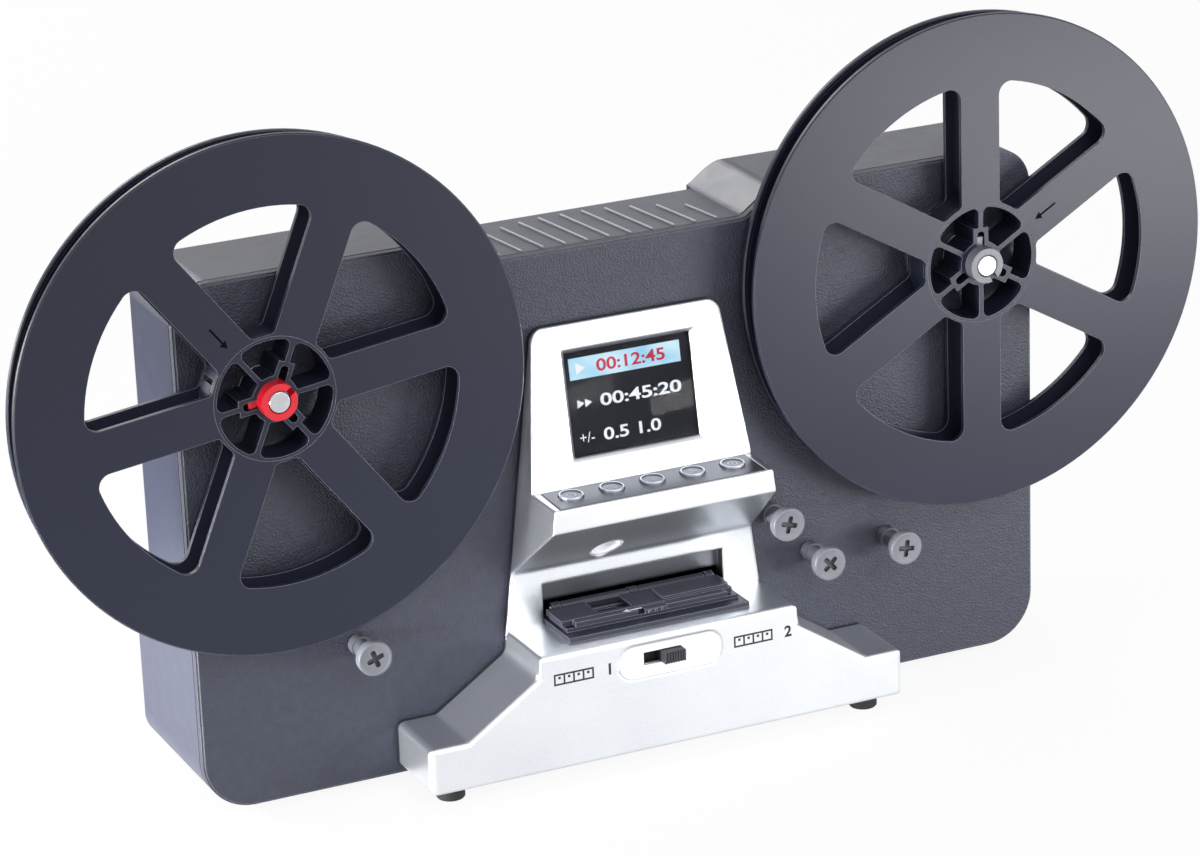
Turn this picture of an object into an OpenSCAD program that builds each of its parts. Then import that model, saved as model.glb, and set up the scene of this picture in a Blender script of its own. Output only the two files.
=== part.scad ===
// Tabletop film scanner: case, console, two reels, film gate, guide rollers.
// All sizes in mm. X to the right, Y to the back, Z up.
// Inside the file y = 0 is the front face of the case and z = 0 its underside;
// place() moves that to the middle of the footprint with the feet on z = 0.

/* [Case] */
// Width of the case
case_width = 321.4; // [318:0.2:330]
// Height of the raised ends of the case above the take-up reel centre
shoulder_rise = 38; // [36:0.2:42]
// How far the middle of the case top lies below its ends
saddle_drop = 9; // [7:0.2:11]
// Where the ramp to the raised ends begins
ramp_in = 48; // [46:0.5:52]
// Length of that ramp
ramp_length = 12; // [10:0.5:14]
// Depth of the upper case
case_depth = 46; // [44:0.5:52]
// Depth of the lower case
heel_depth = 64; // [62:0.5:72]
// Height of the deep lower case
heel_height = 60; // [56:1:64]
// Wall of the rear case
wall = 2.6; // [2:0.1:3]
// Thickness of the front cover
cover_thick = 4; // [3.6:0.1:4.4]
// Radius of the upper case corners
top_radius = 14; // [10:0.5:16]
// Radius of the lower case corners
bottom_radius = 18; // [14:0.5:22]
// Radius of the rear edges
edge_radius = 5; // [3:0.5:7]
// Height of the rubber feet
foot_height = 3; // [2:0.5:5]
// Number of ribs on the case top
rib_count = 11; // [7:2:13]
// Spacing of the ribs
rib_pitch = 8.17; // [7.6:0.05:8.4]

/* [Console] */
// Depth of the console base in front of the case
console_depth = 30.5; // [29.5:0.5:32]
// Reach of the button ledge in front of the case
ledge_reach = 30.7; // [30:0.1:32]
// Height of the gate platform
platform_height = 45; // [44:0.2:46]
// Height of the screen panel above the ledge
panel_rise = 54.6; // [53:0.2:57]
// Height of the ledge front
ledge_height = 96.6; // [95:0.2:98]
// Half width of the console feet
base_half = 90.5; // [88:0.5:94]
// Height of the console feet
base_foot = 19.7; // [18:0.1:21]
// Height of the console's underside above that of the case
base_low = 3.3; // [1:0.1:5]
// Half width of the console at the platform
tower_half_low = 48.2; // [47.6:0.2:50]
// Half width of the console at its top
tower_half_top = 34.6; // [34.4:0.2:36]
// Wall of the console
console_wall = 2.2; // [2:0.1:2.4]
// Angle by which the console sides draw in towards the front
draft = 2.5; // [1.5:0.1:3.5]
// Width of the screen opening
screen_width = 47.4; // [46:0.2:48.4]
// Height of the screen opening
screen_height = 36.2; // [35:0.2:37]
// Spacing of the buttons
button_pitch = 15.25; // [14.6:0.05:15.4]
// Diameter of a button
button_dia = 8.4; // [7.6:0.1:8.6]
// Press of a button
button_travel = 0.5; // [0.3:0.1:0.6]
// Travel of the format switch
switch_travel = 6.4; // [5:0.1:6.8]

/* [Reels] */
// Diameter of the front flange of a reel
reel_dia = 178; // [176:0.5:179]
// Diameter of the back flange of a reel
reel_back_dia = 175.2; // [173:0.2:176]
// Width of a reel over both flanges
reel_width = 13; // [12:0.2:13.4]
// Thickness of a flange
flange_thick = 1.6; // [1.2:0.1:2]
// Distance of each reel from the middle
reel_offset = 132.1; // [131:0.1:134]
// Height of the take-up reel centre
takeup_height = 148.6; // [147:0.1:150]
// Height of the supply reel centre
supply_height = 151.6; // [150:0.1:153]
// Outer radius of the reel windows
window_outer = 65.3; // [63:0.1:68]
// Width of a reel spoke
spoke_width = 15; // [13:0.5:16]
// Outer diameter of the reel hub
hub_dia = 44.4; // [43:0.2:46]
// Diameter of the hole in the reel hub
hub_bore = 12.7; // [12.5:0.1:12.9]
// Diameter of a reel spindle
spindle_dia = 8; // [7.6:0.1:8.2]

/* [Film path] */
// Middle of the film in front of the case
film_y = 8.6; // [8.4:0.1:9]
// Middle of the picture window of the gate
gate_x = -12.8; // [-14:0.1:-12]
// Diameter of a guide roller
roller_dia = 6.4; // [6:0.1:7.2]
// Diameter of a guide roller head
roller_head = 12.3; // [11.6:0.1:12.6]
// Width of the film gate
gate_width = 68.6; // [68:0.1:69]

/* [Hidden] */
$fn = 64;
eps = 0.02;
// keeps rounding circles from only grazing the edges they round
shave = 0.012;
// running clearance of shafts, radial
run = 0.05;
// gap between parts that move past each other
gap = 0.3;
front_reach = console_depth + 4;
oy = (heel_depth - front_reach) / 2;
hwc = case_width / 2;
shoulder_height = takeup_height + shoulder_rise;
saddle_height = shoulder_height - saddle_drop;
ramp_out = ramp_in + ramp_length;
reel_front = film_y + reel_width / 2;
reel_back = film_y - reel_width / 2;
hub_r = hub_dia / 2;
spin_r = spindle_dia / 2;
bush_flange = 0.8;
bush_end = 14;
belt_y = bush_end + gap + 3;
takeup_r = 22;
motor_r = 7;
motor_x = -reel_offset + 50;
motor_z = takeup_height - 26;
seat_y = 30;
boss_y = 14;
panel_low = ledge_reach - 17.8;
panel_top = 3;
ledge_fall = 0.6;
ledge_back = ledge_height + ledge_fall;
console_top = ledge_back + panel_rise;
panel_tilt = atan((panel_low - panel_top) / (console_top - ledge_back));
ledge_tilt = atan(ledge_fall / (ledge_reach - panel_low));
lip_height = ledge_height - 8;
recess_top = platform_height + 21;
tower_slope = (tower_half_low - tower_half_top) / (console_top - platform_height);
lcd_v = 27.5;
button_v = 10.2;
ledge_len = (ledge_reach - panel_low) / cos(ledge_tilt);
panel_len = (console_top - ledge_back) / cos(panel_tilt);
pocket_half = gate_width / 2 + 0.4;
hinge_y = -0.2;
hinge_z = platform_height + 4.4;
gate_front = 23;
slot_left = -10.4;
slot_w = 7.5 + switch_travel + 2 * gap;
slot_z = platform_height - 7.9;
knob_x = slot_left + slot_w - gap - 3.75;
plate_z = platform_height - 8.75;
cam_z = ledge_height - 10;
slope_z = recess_top + (film_y - 2.3) / (ledge_reach - 2.3) * (lip_height - recess_top);
barrel = (cam_z - slope_z) / 2;
shade_r = 5.9;
lens_r = 6.2;
lens_rim = 3;
board_low = console_top - 60;
board_high = console_top - 6;
rollers = [[54.1, 69], [69.9, 51.2], [100.4, 51.2], [-102.8, 51]];
case_screw_at = [[hwc - 10.5, shoulder_height - 12.5], [hwc - 12.5, 92],
  [70, saddle_height - 17.6], [hwc - 12.5, 24]];
console_screw_at = [[41, 26], [32.2, console_top - 18]];
feet_at = [[79.7, -20, base_low], [hwc - 30, heel_depth - 12, 0]];

// Helpers

// Moves the working frame to the middle of the footprint
module place() {
  translate([0, -oy, foot_height]) children();
}

// Extrudes an (x, z) shape from y = a to y = b
module ext_y(a, b) {
  translate([0, b, 0]) rotate([90, 0, 0]) linear_extrude(height = b - a) children();
}

// Extrudes a (y, z) shape from x = a to x = b
module ext_x(a, b) {
  translate([a, 0, 0]) rotate([90, 0, 90]) linear_extrude(height = b - a) children();
}

// Extrudes an (x, y) shape from z = a to z = b
module ext_z(a, b) {
  translate([0, 0, a]) linear_extrude(height = b - a) children();
}

// Rod along Y from a to b
module rod_y(x, z, r, a, b) {
  translate([x, b, z]) rotate([90, 0, 0]) cylinder(r = r, h = b - a);
}

// Box between two corners
module box(a, b) {
  translate(a) cube(b - a);
}

function unit(v) = v / norm(v);
function left(v) = [-v[1], v[0]];
function nth(p, i) = p[(i + len(p)) % len(p)];

// Moves every side of a counter-clockwise outline inwards by d
function inset(p, d) = [for (i = [0 : len(p) - 1])
  let (a = left(unit(p[i] - nth(p, i - 1))))
  let (b = left(unit(nth(p, i + 1) - p[i])))
  p[i] + d * (a + b) / (1 + a * b)];

function turn(a, p, b) = (p[0] - a[0]) * (b[1] - p[1]) - (p[1] - a[1]) * (b[0] - p[0]);

// Corner piece between an outline corner and its rounding circle
module corner(a, p, b, r) {
  u = unit(a - p);
  v = unit(b - p);
  t = sqrt((1 - u * v) / (1 + u * v));
  s = sqrt((1 - u * v) / 2);
  c = p + unit(u + v) * r / s;
  difference() {
    polygon([p + (p - c) * 0.1, p + u * r / t, c, p + v * r / t]);
    translate(c) circle(r = r + shave);
  }
}

// Outline with a rounding radius for each corner
module rounded(p, r) {
  difference() {
    union() {
      polygon(p);
      for (i = [0 : len(p) - 1])
        if (r[i] > 0 && turn(nth(p, i - 1), p[i], nth(p, i + 1)) < 0)
          corner(nth(p, i - 1), p[i], nth(p, i + 1), r[i]);
    }
    for (i = [0 : len(p) - 1])
      if (r[i] > 0 && turn(nth(p, i - 1), p[i], nth(p, i + 1)) > 0)
        corner(nth(p, i - 1), p[i], nth(p, i + 1), r[i]);
  }
}

// Rounded rectangle about the origin
module round_rect(w, h, r) {
  rounded([[-w / 2, -h / 2], [w / 2, -h / 2], [w / 2, h / 2], [-w / 2, h / 2]], [r, r, r, r]);
}

// Frames of the tilted console faces: x along, y up the face, z outwards
module on_panel() {
  translate([0, -panel_low, ledge_back]) rotate([90 - panel_tilt, 0, 0]) children();
}

module on_ledge() {
  translate([0, -ledge_reach, ledge_height]) rotate([ledge_tilt, 0, 0]) children();
}

// Case

function case_points(i) = inset([[-hwc, 0], [hwc, 0], [hwc, shoulder_height],
  [ramp_out, shoulder_height], [ramp_in, saddle_height], [-ramp_in, saddle_height],
  [-ramp_out, shoulder_height], [-hwc, shoulder_height]], i);

module case_outline(i) {
  b = bottom_radius - i;
  t = top_radius - i;
  rounded(case_points(i), [b, b, t, 7 - i / 2, 7 + i / 2, 7 + i / 2, 7 - i / 2, t]);
}

// Side view of the upper case up to height h
module back_profile(y0, d, h, r) {
  rounded([[y0, -5], [d, -5], [d, h], [y0, h]], [0, 0, r, 0]);
}

// Plan of the case with rounded rear corners
module back_plan(y0, d, w, r) {
  rounded([[-w, y0], [w, y0], [w, d], [-w, d]], [0, 0, r, r]);
}

// The rear case as a solid, set in by i
module rear_solid(i, y0) {
  w = hwc - i;
  d = case_depth - i;
  h = heel_depth - i;
  r = edge_radius - i;
  intersection() {
    ext_y(y0, d) case_outline(i);
    ext_z(-6, shoulder_height + 6) back_plan(y0, d, w, r);
    union() {
      ext_x(-ramp_in, ramp_in) back_profile(y0, d, saddle_height - i, r);
      ext_x(ramp_in - eps, w + 1) back_profile(y0, d, shoulder_height - i, r);
      ext_x(-w - 1, -ramp_in + eps) back_profile(y0, d, shoulder_height - i, r);
    }
  }
  intersection() {
    ext_y(d - 10, h) case_outline(i);
    ext_z(-6, shoulder_height) back_plan(d - 10, h, w, r);
    ext_x(-w - 1, w + 1) rounded([[d - 10, i], [h, i], [h, heel_height - i],
      [d, heel_height - i + h - d], [d - 10, heel_height - i + h - d]], [0, r, r, 0, 0]);
  }
}

// One rib on the case top, its rear end on an arc
module top_rib(k) {
  x = -1.4 + k * rib_pitch;
  reach = sqrt(71 * 71 - k * k * rib_pitch * rib_pitch) - 33.3 - cover_thick - 1;
  translate([x, cover_thick + 1, saddle_height - 0.2]) rotate([0, 0, 6.6])
    translate([-0.35, 0, 0]) cube([0.7, min(reach, case_depth - 14), 0.75]);
}

module rear_case() {
  n = (rib_count - 1) / 2;
  color("#3d3f4a") place() difference() {
    union() {
      difference() {
        rear_solid(0, cover_thick);
        rear_solid(wall, cover_thick - 1);
      }
      for (k = [-n : n]) top_rib(k);
      intersection() {
        rear_solid(1, cover_thick);
        union() {
          for (s = [-1, 1], p = case_screw_at)
            rod_y(s * p[0], p[1], 5, boss_y, heel_depth);
          for (s = [-1, 1], z = [board_low, board_high])
            rod_y(s * 44, z, 3, seat_y + 1.6, case_depth);
        }
      }
    }
    for (s = [-1, 1], p = case_screw_at) {
      rod_y(s * p[0], p[1], 1.8, boss_y - 1, heel_depth + 1);
      rod_y(s * p[0], p[1], 3.4, seat_y, heel_depth + 1);
    }
    box([-124.3, heel_depth - 5, 29.7], [-115.7, heel_depth + 1, 34.3]);
    box([-98.4, heel_depth - 5, 29.5], [-71.6, heel_depth + 1, 33.5]);
  }
}

module front_cover() {
  color("#474953") place() difference() {
    union() {
      ext_y(0, 0.7) case_outline(0.7);
      ext_y(0.7 - eps, cover_thick - 0.8) case_outline(0);
      ext_y(cover_thick - 0.8 - eps, cover_thick) case_outline(0.9);
      ext_y(cover_thick - eps, cover_thick + 3) difference() {
        case_outline(wall + 0.2);
        case_outline(wall + 1.8);
      }
      for (s = [-1, 1], p = case_screw_at) rod_y(s * p[0], p[1], 4.5, 1, boss_y);
      for (p = rollers) rod_y(p[0], p[1], 5, 1, 13);
      for (a = [0, 180]) translate([motor_x, 0, motor_z]) rotate([0, a + 27, 0])
        rod_y(0, 17, 3.5, 1, belt_y + 4);
    }
    for (s = [-1, 1], p = case_screw_at) rod_y(s * p[0], p[1], 1.5 + eps, 4, boss_y + 1);
    for (p = rollers) rod_y(p[0], p[1], 1.5 + eps, -1, 14);
    rod_y(-reel_offset, takeup_height, 7 + eps, -1, cover_thick + 4);
    rod_y(reel_offset, supply_height, 7 + eps, -1, cover_thick + 4);
    for (s = [-1, 1], p = console_screw_at) rod_y(s * p[0], p[1], 1.5, -1, cover_thick + 1);
    box([-28.7, -1, recess_top - 1], [28.7, cover_thick + 1, console_top - 3]);
    box([-pocket_half - 2, -1, platform_height - 0.5],
      [pocket_half + 2, cover_thick + 1, recess_top]);
    box([-30, -1, 10], [30, cover_thick + 1, platform_height]);
  }
}

// Console

function base_points() = [[-base_half, base_low], [base_half, base_low], [base_half, base_foot],
  [76.2, base_foot], [tower_half_low + 1.1, platform_height - 7.4],
  [tower_half_low + 0.5, platform_height], [-tower_half_low - 0.5, platform_height],
  [-tower_half_low - 1.1, platform_height - 7.4], [-76.2, base_foot],
  [-base_half, base_foot]];

// Side view of the console tower with its back at y = b
function tower_points(b) = [[b, platform_height - 3], [b, console_top], [-panel_top, console_top],
  [-panel_low, ledge_back], [-ledge_reach, ledge_height], [-ledge_reach, lip_height],
  [-2.3, recess_top], [-1.8, platform_height - 3]];

// Everything left of the right side of the console tower, set in by i, back to y = b
module tower_side(i, b) {
  w = tower_half_low + tower_slope * (platform_height - 30);
  r = max(5 - i, 1);
  translate([tower_half_low, -panel_low, 0]) rotate([0, 0, -draft])
    translate([-tower_half_low, panel_low, 0]) ext_y(-45, b)
      rounded(inset([[-70, 30], [w, 30], [tower_half_top, console_top], [-70, console_top]], i),
        [0, 0, r, 0]);
}

// The console tower between its two sides
module tower_sides(i, b) {
  intersection() {
    tower_side(i, b);
    mirror([1, 0, 0]) tower_side(i, b);
  }
}

// Quarter round taken off a straight edge of length n
module edge_cut(n, r) {
  linear_extrude(height = n) difference() {
    translate([-r, -r]) square([r + 1, r + 1]);
    translate([-r, -r]) circle(r = r);
    translate([-r - 1, -r - 1]) square([1, r + 3]);
  }
}

// Rounds the front edge of the console base between two points of its outline
module base_edge(a, b, r, e0, e1) {
  d = norm(b - a);
  translate([a[0], -console_depth, a[1]])
    rotate([0, 90 - atan2(b[1] - a[1], b[0] - a[0]), 0])
      translate([0, 0, -e0]) rotate([0, 0, 180]) edge_cut(d + e0 + e1, r);
}

module tower_outer() {
  intersection() {
    ext_x(-60, 60) rounded(tower_points(0), [0, 0, 1, 0.8, 0.9, 0.8, 4, 0]);
    tower_sides(0, 2);
  }
}

module tower_inner() {
  intersection() {
    ext_x(-60, 60) polygon(inset(tower_points(9), console_wall));
    tower_sides(console_wall, 12);
  }
}

// Cut with sloped sides for the screen opening
module screen_cut() {
  w = screen_width / 2;
  h = screen_height / 2;
  b = 1.7;
  d = console_wall - 0.4;
  on_panel() translate([0, lcd_v, 0]) {
    translate([-w, -h, -console_wall - 1]) cube([2 * w, 2 * h, console_wall + 2]);
    intersection() {
      rotate([90, 0, 0]) translate([0, 0, -40]) linear_extrude(height = 80)
        polygon([[-w, -d], [w, -d], [w + b, 0.1], [-w - b, 0.1]]);
      rotate([90, 0, 90]) translate([0, 0, -40]) linear_extrude(height = 80)
        polygon([[-h, -d], [h, -d], [h + b, 0.1], [-h - b, 0.1]]);
    }
  }
}

module console_cover() {
  q = base_points();
  color("#e3e5ec") place() difference() {
    union() {
      difference() {
        union() {
          tower_outer();
          intersection() {
            ext_y(-console_depth, 0) rounded(q, [2, 2, 2.5, 3, 5, 1.5, 1.5, 5, 3, 2.5]);
            ext_z(-1, platform_height + 1) rounded([[-base_half, -console_depth],
              [base_half, -console_depth], [base_half, 1], [-base_half, 1]], [3, 3, 0, 0]);
          }
        }
        tower_inner();
        ext_y(-console_depth + console_wall, 1) polygon(inset(q, console_wall));
      }
      // pocket behind the gate
      box([-pocket_half - 1.6, -1.9, platform_height], [pocket_half + 1.6, 3.8, platform_height + 16.2]);
      // bosses for the console screws
      for (s = [-1, 1]) {
        rod_y(s * console_screw_at[0][0], console_screw_at[0][1], 3.4,
          -console_depth + 1, 0);
        intersection() {
          rod_y(s * console_screw_at[1][0], console_screw_at[1][1], 3.4, -20, 0);
          tower_outer();
        }
      }
      // posts for the button board
      on_ledge() for (s = [-1.5, -0.5, 0.5, 1.5])
        translate([s * button_pitch, button_v - 0.5, -5.6]) cylinder(r = 1.8, h = 4.6);
      // posts for the format switch
      for (x = [slot_left - 3.2, slot_left + slot_w + 3.2])
        rod_y(x, slot_z, 1.8, -console_depth + 1.5, -console_depth + 4.3);
    }
    // pocket, with an open slot low in its back
    box([-pocket_half, -4, platform_height], [pocket_half, 2.2, platform_height + 14.6]);
    box([-pocket_half, 2, platform_height + 0.2], [pocket_half, 5, platform_height + 6.8]);
    for (s = [-1, 1], p = console_screw_at)
      rod_y(s * p[0], p[1], 1.3 + eps, -3.4, 1);
    screen_cut();
    // seat of the button panel and the holes below it
    on_ledge() {
      translate([-38.7, 0.7, -0.6]) cube([77.4, 16.5, 10]);
      for (k = [-2 : 2]) translate([k * button_pitch, button_v, -4])
        cylinder(r = button_dia / 2 + 1, h = 8);
    }
    // camera view and light openings
    translate([gate_x, -film_y, recess_top - 9])
      cylinder(r = shade_r, h = cam_z - barrel - recess_top + 12);
    translate([gate_x, -film_y, cam_z - lens_rim - gap]) cylinder(r = lens_r + gap, h = lens_rim + 4);
    box([gate_x - 5, -film_y - 4.5, platform_height - 4],
      [gate_x + 5, -film_y + 4.5, platform_height + 1]);
    box([-1, -film_y - 4, platform_height - 4], [7.4, -film_y - 2.2, platform_height + 1]);
    // seat of the switch plate and the switch slot
    translate([0, -console_depth + 0.8, plate_z]) rotate([90, 0, 0])
      linear_extrude(height = 5) round_rect(39.2 + 0.1, 12.3 + 0.1, 5.6);
    box([slot_left, -console_depth - 1, slot_z - 2.35],
      [slot_left + slot_w, -console_depth + 3, slot_z + 2.35]);
    // rounded front edges of the base
    base_edge(q[9], q[8], 1.6, 0, 0);
    base_edge(q[8], q[7], 1.6, 0, 0.4);
    base_edge(q[6], q[5], 1.6, 1, 1);
    base_edge(q[4], q[3], 1.6, 0.4, 0);
    base_edge(q[3], q[2], 1.6, 0, 0);
  }
}

module switch_plate() {
  color("#f4f5f8") place() difference() {
    translate([0, -console_depth + 0.8, plate_z]) rotate([90, 0, 0])
      linear_extrude(height = 1.2) round_rect(39.2, 12.3, 5.6);
    box([slot_left, -console_depth - 3, slot_z - 2.35],
      [slot_left + slot_w, -console_depth + 3, slot_z + 2.35]);
  }
}

module switch_body() {
  y = -console_depth + 4.3;
  color("#2b2c31") place() {
    box([slot_left - 5, y, slot_z - 4], [slot_left + slot_w + 5, y + 6, slot_z + 4]);
    for (i = [-1 : 1]) box([-4 + 3 * i, y + 5.9, slot_z - 0.4], [-3 + 3 * i, y + 7.2, slot_z + 0.4]);
  }
}

module switch_knob() {
  y = -console_depth - 0.4;
  color("#3b3c42") place() {
    difference() {
      box([knob_x - 3.95, -front_reach, slot_z - 2.05], [knob_x + 3.95, y - gap, slot_z + 2.05]);
      for (i = [-3 : 3]) box([knob_x + i - 0.22, -front_reach - 1, slot_z - 3],
        [knob_x + i + 0.22, -front_reach + 0.5, slot_z + 3]);
    }
    box([knob_x - 3.75, y - gap - eps, slot_z - 1.9],
      [knob_x + 3.75, -console_depth + 4.3 - gap, slot_z + 1.9]);
  }
}

module screen_window() {
  color("#a9bccb") place() on_panel()
    translate([-screen_width / 2 - 1.5, lcd_v - screen_height / 2 - 1.5, -console_wall - 1])
      cube([screen_width + 3, screen_height + 3, 1]);
}

module lcd_module() {
  color("#15161d") place() on_panel() translate([0, lcd_v, -console_wall - 4.2]) difference() {
    translate([-28, -21.5, 0]) cube([56, 43, 3.2]);
    translate([-30, -30, 3.2 + eps]) cube([60, 60, 2]);
  }
}

module button_panel() {
  color("#9a9ca3") place() on_ledge() difference() {
    translate([-38.6, 0.8, -0.6]) cube([77.2, 16.3, 0.8]);
    for (k = [-2 : 2]) translate([k * button_pitch, button_v, -2])
      cylinder(r = button_dia / 2 + gap, h = 4);
  }
}

module button_board() {
  color("#2f6b45") place() on_ledge() {
    translate([-36, button_v - 4.4, -7]) cube([72, 9.2, 1.4]);
    for (k = [-2 : 2]) translate([k * button_pitch, button_v, -5.6 - eps])
      cylinder(r = 1.9, h = 0.6);
  }
}

// One push button, number k from the left
module push_button(k) {
  color("#a3a5ab") place() on_ledge() translate([k * button_pitch, button_v, 0]) {
    difference() {
      translate([0, 0, -0.8]) cylinder(r = button_dia / 2, h = 1.9);
      translate([0, 0, 0.8]) cylinder(r = button_dia / 2 - 0.7, h = 1);
    }
    translate([0, 0, -1.7]) cylinder(r = button_dia / 2 + 0.6, h = 0.9 - gap);
    translate([0, 0, -1.2]) cylinder(r = button_dia / 2, h = 0.5);
    translate([0, 0, -5 + button_travel + 0.1]) cylinder(r = 1.4, h = 4 - button_travel);
  }
}

module button_power() { push_button(-2); }
module button_menu() { push_button(-1); }
module button_left() { push_button(0); }
module button_right() { push_button(1); }
module button_ok() { push_button(2); }

module main_board() {
  color("#2c6a43") place() {
    difference() {
      box([-50, seat_y, board_low - 6], [50, seat_y + 1.6, board_high + 6]);
      for (s = [-1, 1], z = [board_low, board_high]) rod_y(s * 44, z, 1.2, seat_y - 1, seat_y + 3);
    }
    box([-12, seat_y - 1.5, board_low + 16], [12, seat_y + eps, board_low + 40]);
    box([-36, seat_y - 1.2, board_low + 20], [-22, seat_y + eps, board_low + 32]);
    box([20, seat_y - 4, board_low + 4], [38, seat_y + eps, board_low + 10]);
  }
}

module camera_board() {
  color("#2c6a43") place() {
    box([gate_x - 14, -film_y - 8, cam_z], [gate_x + 14, 5, cam_z + 1.6]);
    box([gate_x - 6, -film_y - 5, cam_z + 1.6 - eps], [gate_x + 6, -film_y + 5, cam_z + 3]);
  }
}

module camera_lens() {
  color("#1c1d22") place() translate([gate_x, -film_y, 0]) difference() {
    union() {
      translate([0, 0, cam_z - lens_rim]) cylinder(r = lens_r, h = lens_rim);
      translate([0, 0, cam_z - barrel]) cylinder(r = 4.8, h = barrel - 2);
    }
    translate([0, 0, cam_z - barrel - 1]) cylinder(r = 3.2, h = 4);
  }
}

module lens_shade() {
  t = atan((lip_height - recess_top) / (ledge_reach - 2.3));
  color("#eef0f4") place() intersection() {
    translate([gate_x, -film_y, 0]) difference() {
      translate([0, 0, recess_top - 4]) cylinder(r = shade_r - eps, h = cam_z - barrel - recess_top + 4);
      translate([0, 0, recess_top - 4 - eps])
        cylinder(r1 = shade_r - 0.4, r2 = 4.2, h = cam_z - barrel - recess_top + 4 + 2 * eps);
    }
    translate([-60, -2.3, recess_top]) rotate([-t, 0, 0]) translate([0, -40, 0.3])
      cube([120, 60, 40]);
  }
}

module light_box() {
  color("#f1f2ee") place() {
    box([gate_x - 6.4, -film_y - 8, platform_height - 14],
      [gate_x + 6.4, -film_y + 7.5, platform_height - console_wall]);
    box([gate_x - 4.8, -film_y - 4.3, platform_height - console_wall - eps],
      [gate_x + 4.8, -film_y + 4.3, platform_height - 0.2]);
  }
}

module claw_drive() {
  low = base_low + console_wall + 2 * gap;
  color("#73757c") place() {
    box([9, -film_y - 9, 18], [27, -film_y + 8, platform_height - console_wall]);
    translate([18, -film_y, low]) cylinder(r = 8, h = 18 - low + eps);
  }
}

module film_claw() {
  z = platform_height - console_wall - gap;
  color("#c9ccd2") place() {
    box([-1.5, -film_y - 6, z - 2], [8.7, -film_y - 0.5, z]);
    box([5.2, -film_y - 3.5, z - eps], [6.4, -film_y - 2.7, platform_height + 3.2]);
  }
}

// Gate

module gate_base() {
  w = gate_width / 2;
  z = platform_height;
  color("#26272c") place() difference() {
    union() {
      box([-w, -gate_front, z], [w, 1.6, z + 1.7]);
      box([-w + 1.5, -17.6, z + 1.6], [w - 1.5, -2.6, z + 3]);
      for (x = [-29.5, 0, 29.5]) {
        translate([x - 1.5, hinge_y, hinge_z]) rotate([0, 90, 0]) cylinder(r = 1.9, h = 3);
        box([x - 1.5, hinge_y - 1.9, z + 1.6], [x + 1.5, hinge_y + 1.7, hinge_z]);
      }
    }
    box([-w - 1, -film_y - 4.1, z + 2.6], [w + 1, -film_y + 4.1, z + 4]);
    box([gate_x - 3.6, -film_y - 2.8, z - 1], [gate_x + 3.6, -film_y + 2.8, z + 5]);
    box([-0.4, -film_y - 3.8, z - 1], [6.8, -film_y - 2.4, z + 5]);
    translate([-40, hinge_y, hinge_z]) rotate([0, 90, 0]) cylinder(r = 0.9 + eps / 2, h = 80);
  }
}

module gate_hinge_pin() {
  color("#b9bcc4") place() translate([-31.6, hinge_y, hinge_z]) rotate([0, 90, 0])
    cylinder(r = 0.9, h = 63.2);
}

module gate_cover() {
  w = gate_width / 2;
  z = platform_height + 3 + gap;
  t = platform_height + 5.2;
  color("#2a2b30") place() difference() {
    union() {
      box([-w + 0.5, -15.6, z], [w - 3, -2.4, t]);
      box([-29.7, -18.2, z], [28.2, -15.5, t - 0.2]);
      translate([0, 0, t - eps]) ext_z(0, 0.9) rounded([[5.5, -14], [31, -14], [31, -4], [5.5, -4]],
        [1, 1, 1, 1]);
      for (s = [-1, 1]) {
        translate([s * 14.75 - 12.6, hinge_y, hinge_z]) rotate([0, 90, 0])
          cylinder(r = 1.7, h = 25.2);
        box([s * 14.75 - 12.6, -2.5, z], [s * 14.75 + 12.6, hinge_y, hinge_z + 0.6]);
      }
    }
    translate([gate_x - 6.5, -film_y - 5.2, z - 1]) cube([13, 10.6, 5]);
    box([-29, -15.75, t - 0.7], [27.5, -15.35, t + 1]);
    box([-6.2, -19, z - 1], [5, -15.8, t + 1]);
    box([4.2, -film_y - 4, z - 1], [7.2, -film_y - 2.2, z + 0.8]);
    translate([-40, hinge_y, hinge_z]) rotate([0, 90, 0]) cylinder(r = 0.9 + run, h = 80);
  }
}

module gate_latch() {
  z = platform_height + 3 + gap;
  t = platform_height + 5.2;
  color("#33343a") place() {
    box([-3.5, -18.8, z], [4.7, -15.8 - gap, t - 0.5]);
    for (i = [0 : 2]) box([-2.4 + 2.4 * i, -19.1, z + 0.2], [-1.4 + 2.4 * i, -18.7, t - 0.9]);
  }
}

// Reels and spindles

// Six openings with rounded corners between six arms of width w
module openings_2d(ri, ro, w, ci, co) {
  ao = asin((w / 2 + co) / (ro - co));
  ai = asin((w / 2 + ci) / (ri + ci));
  bo = asin(w / 2 / ro);
  bi = asin(w / 2 / ri);
  for (k = [0 : 5]) rotate(60 * k) difference() {
    intersection() {
      difference() {
        circle(r = ro);
        circle(r = ri);
      }
      polygon([[w, 0], [w + 200 * cos(30), -200 * sin(30)], [w + 200 * cos(30), 200 * sin(30)]]);
    }
    for (s = [0, 1]) mirror([0, s]) rotate(-30) {
      difference() {
        polygon([1.03 * ro * [cos(bo / 2), sin(bo / 2)], 1.03 * ro * [cos(ao), sin(ao)],
          (ro - co) * [cos(ao), sin(ao)], [(ro - co) * cos(ao), w / 2 - 0.3]]);
        translate((ro - co) * [cos(ao), sin(ao)]) circle(r = co + shave);
      }
      difference() {
        polygon([0.96 * ri * [cos(bi), sin(bi)] - [0, 0.3], [(ri + ci) * cos(ai), w / 2 - 0.3],
          (ri + ci) * [cos(ai), sin(ai)], 0.96 * ri * [cos(ai), sin(ai)]]);
        translate((ri + ci) * [cos(ai), sin(ai)]) circle(r = ci + shave);
      }
    }
  }
}

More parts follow.
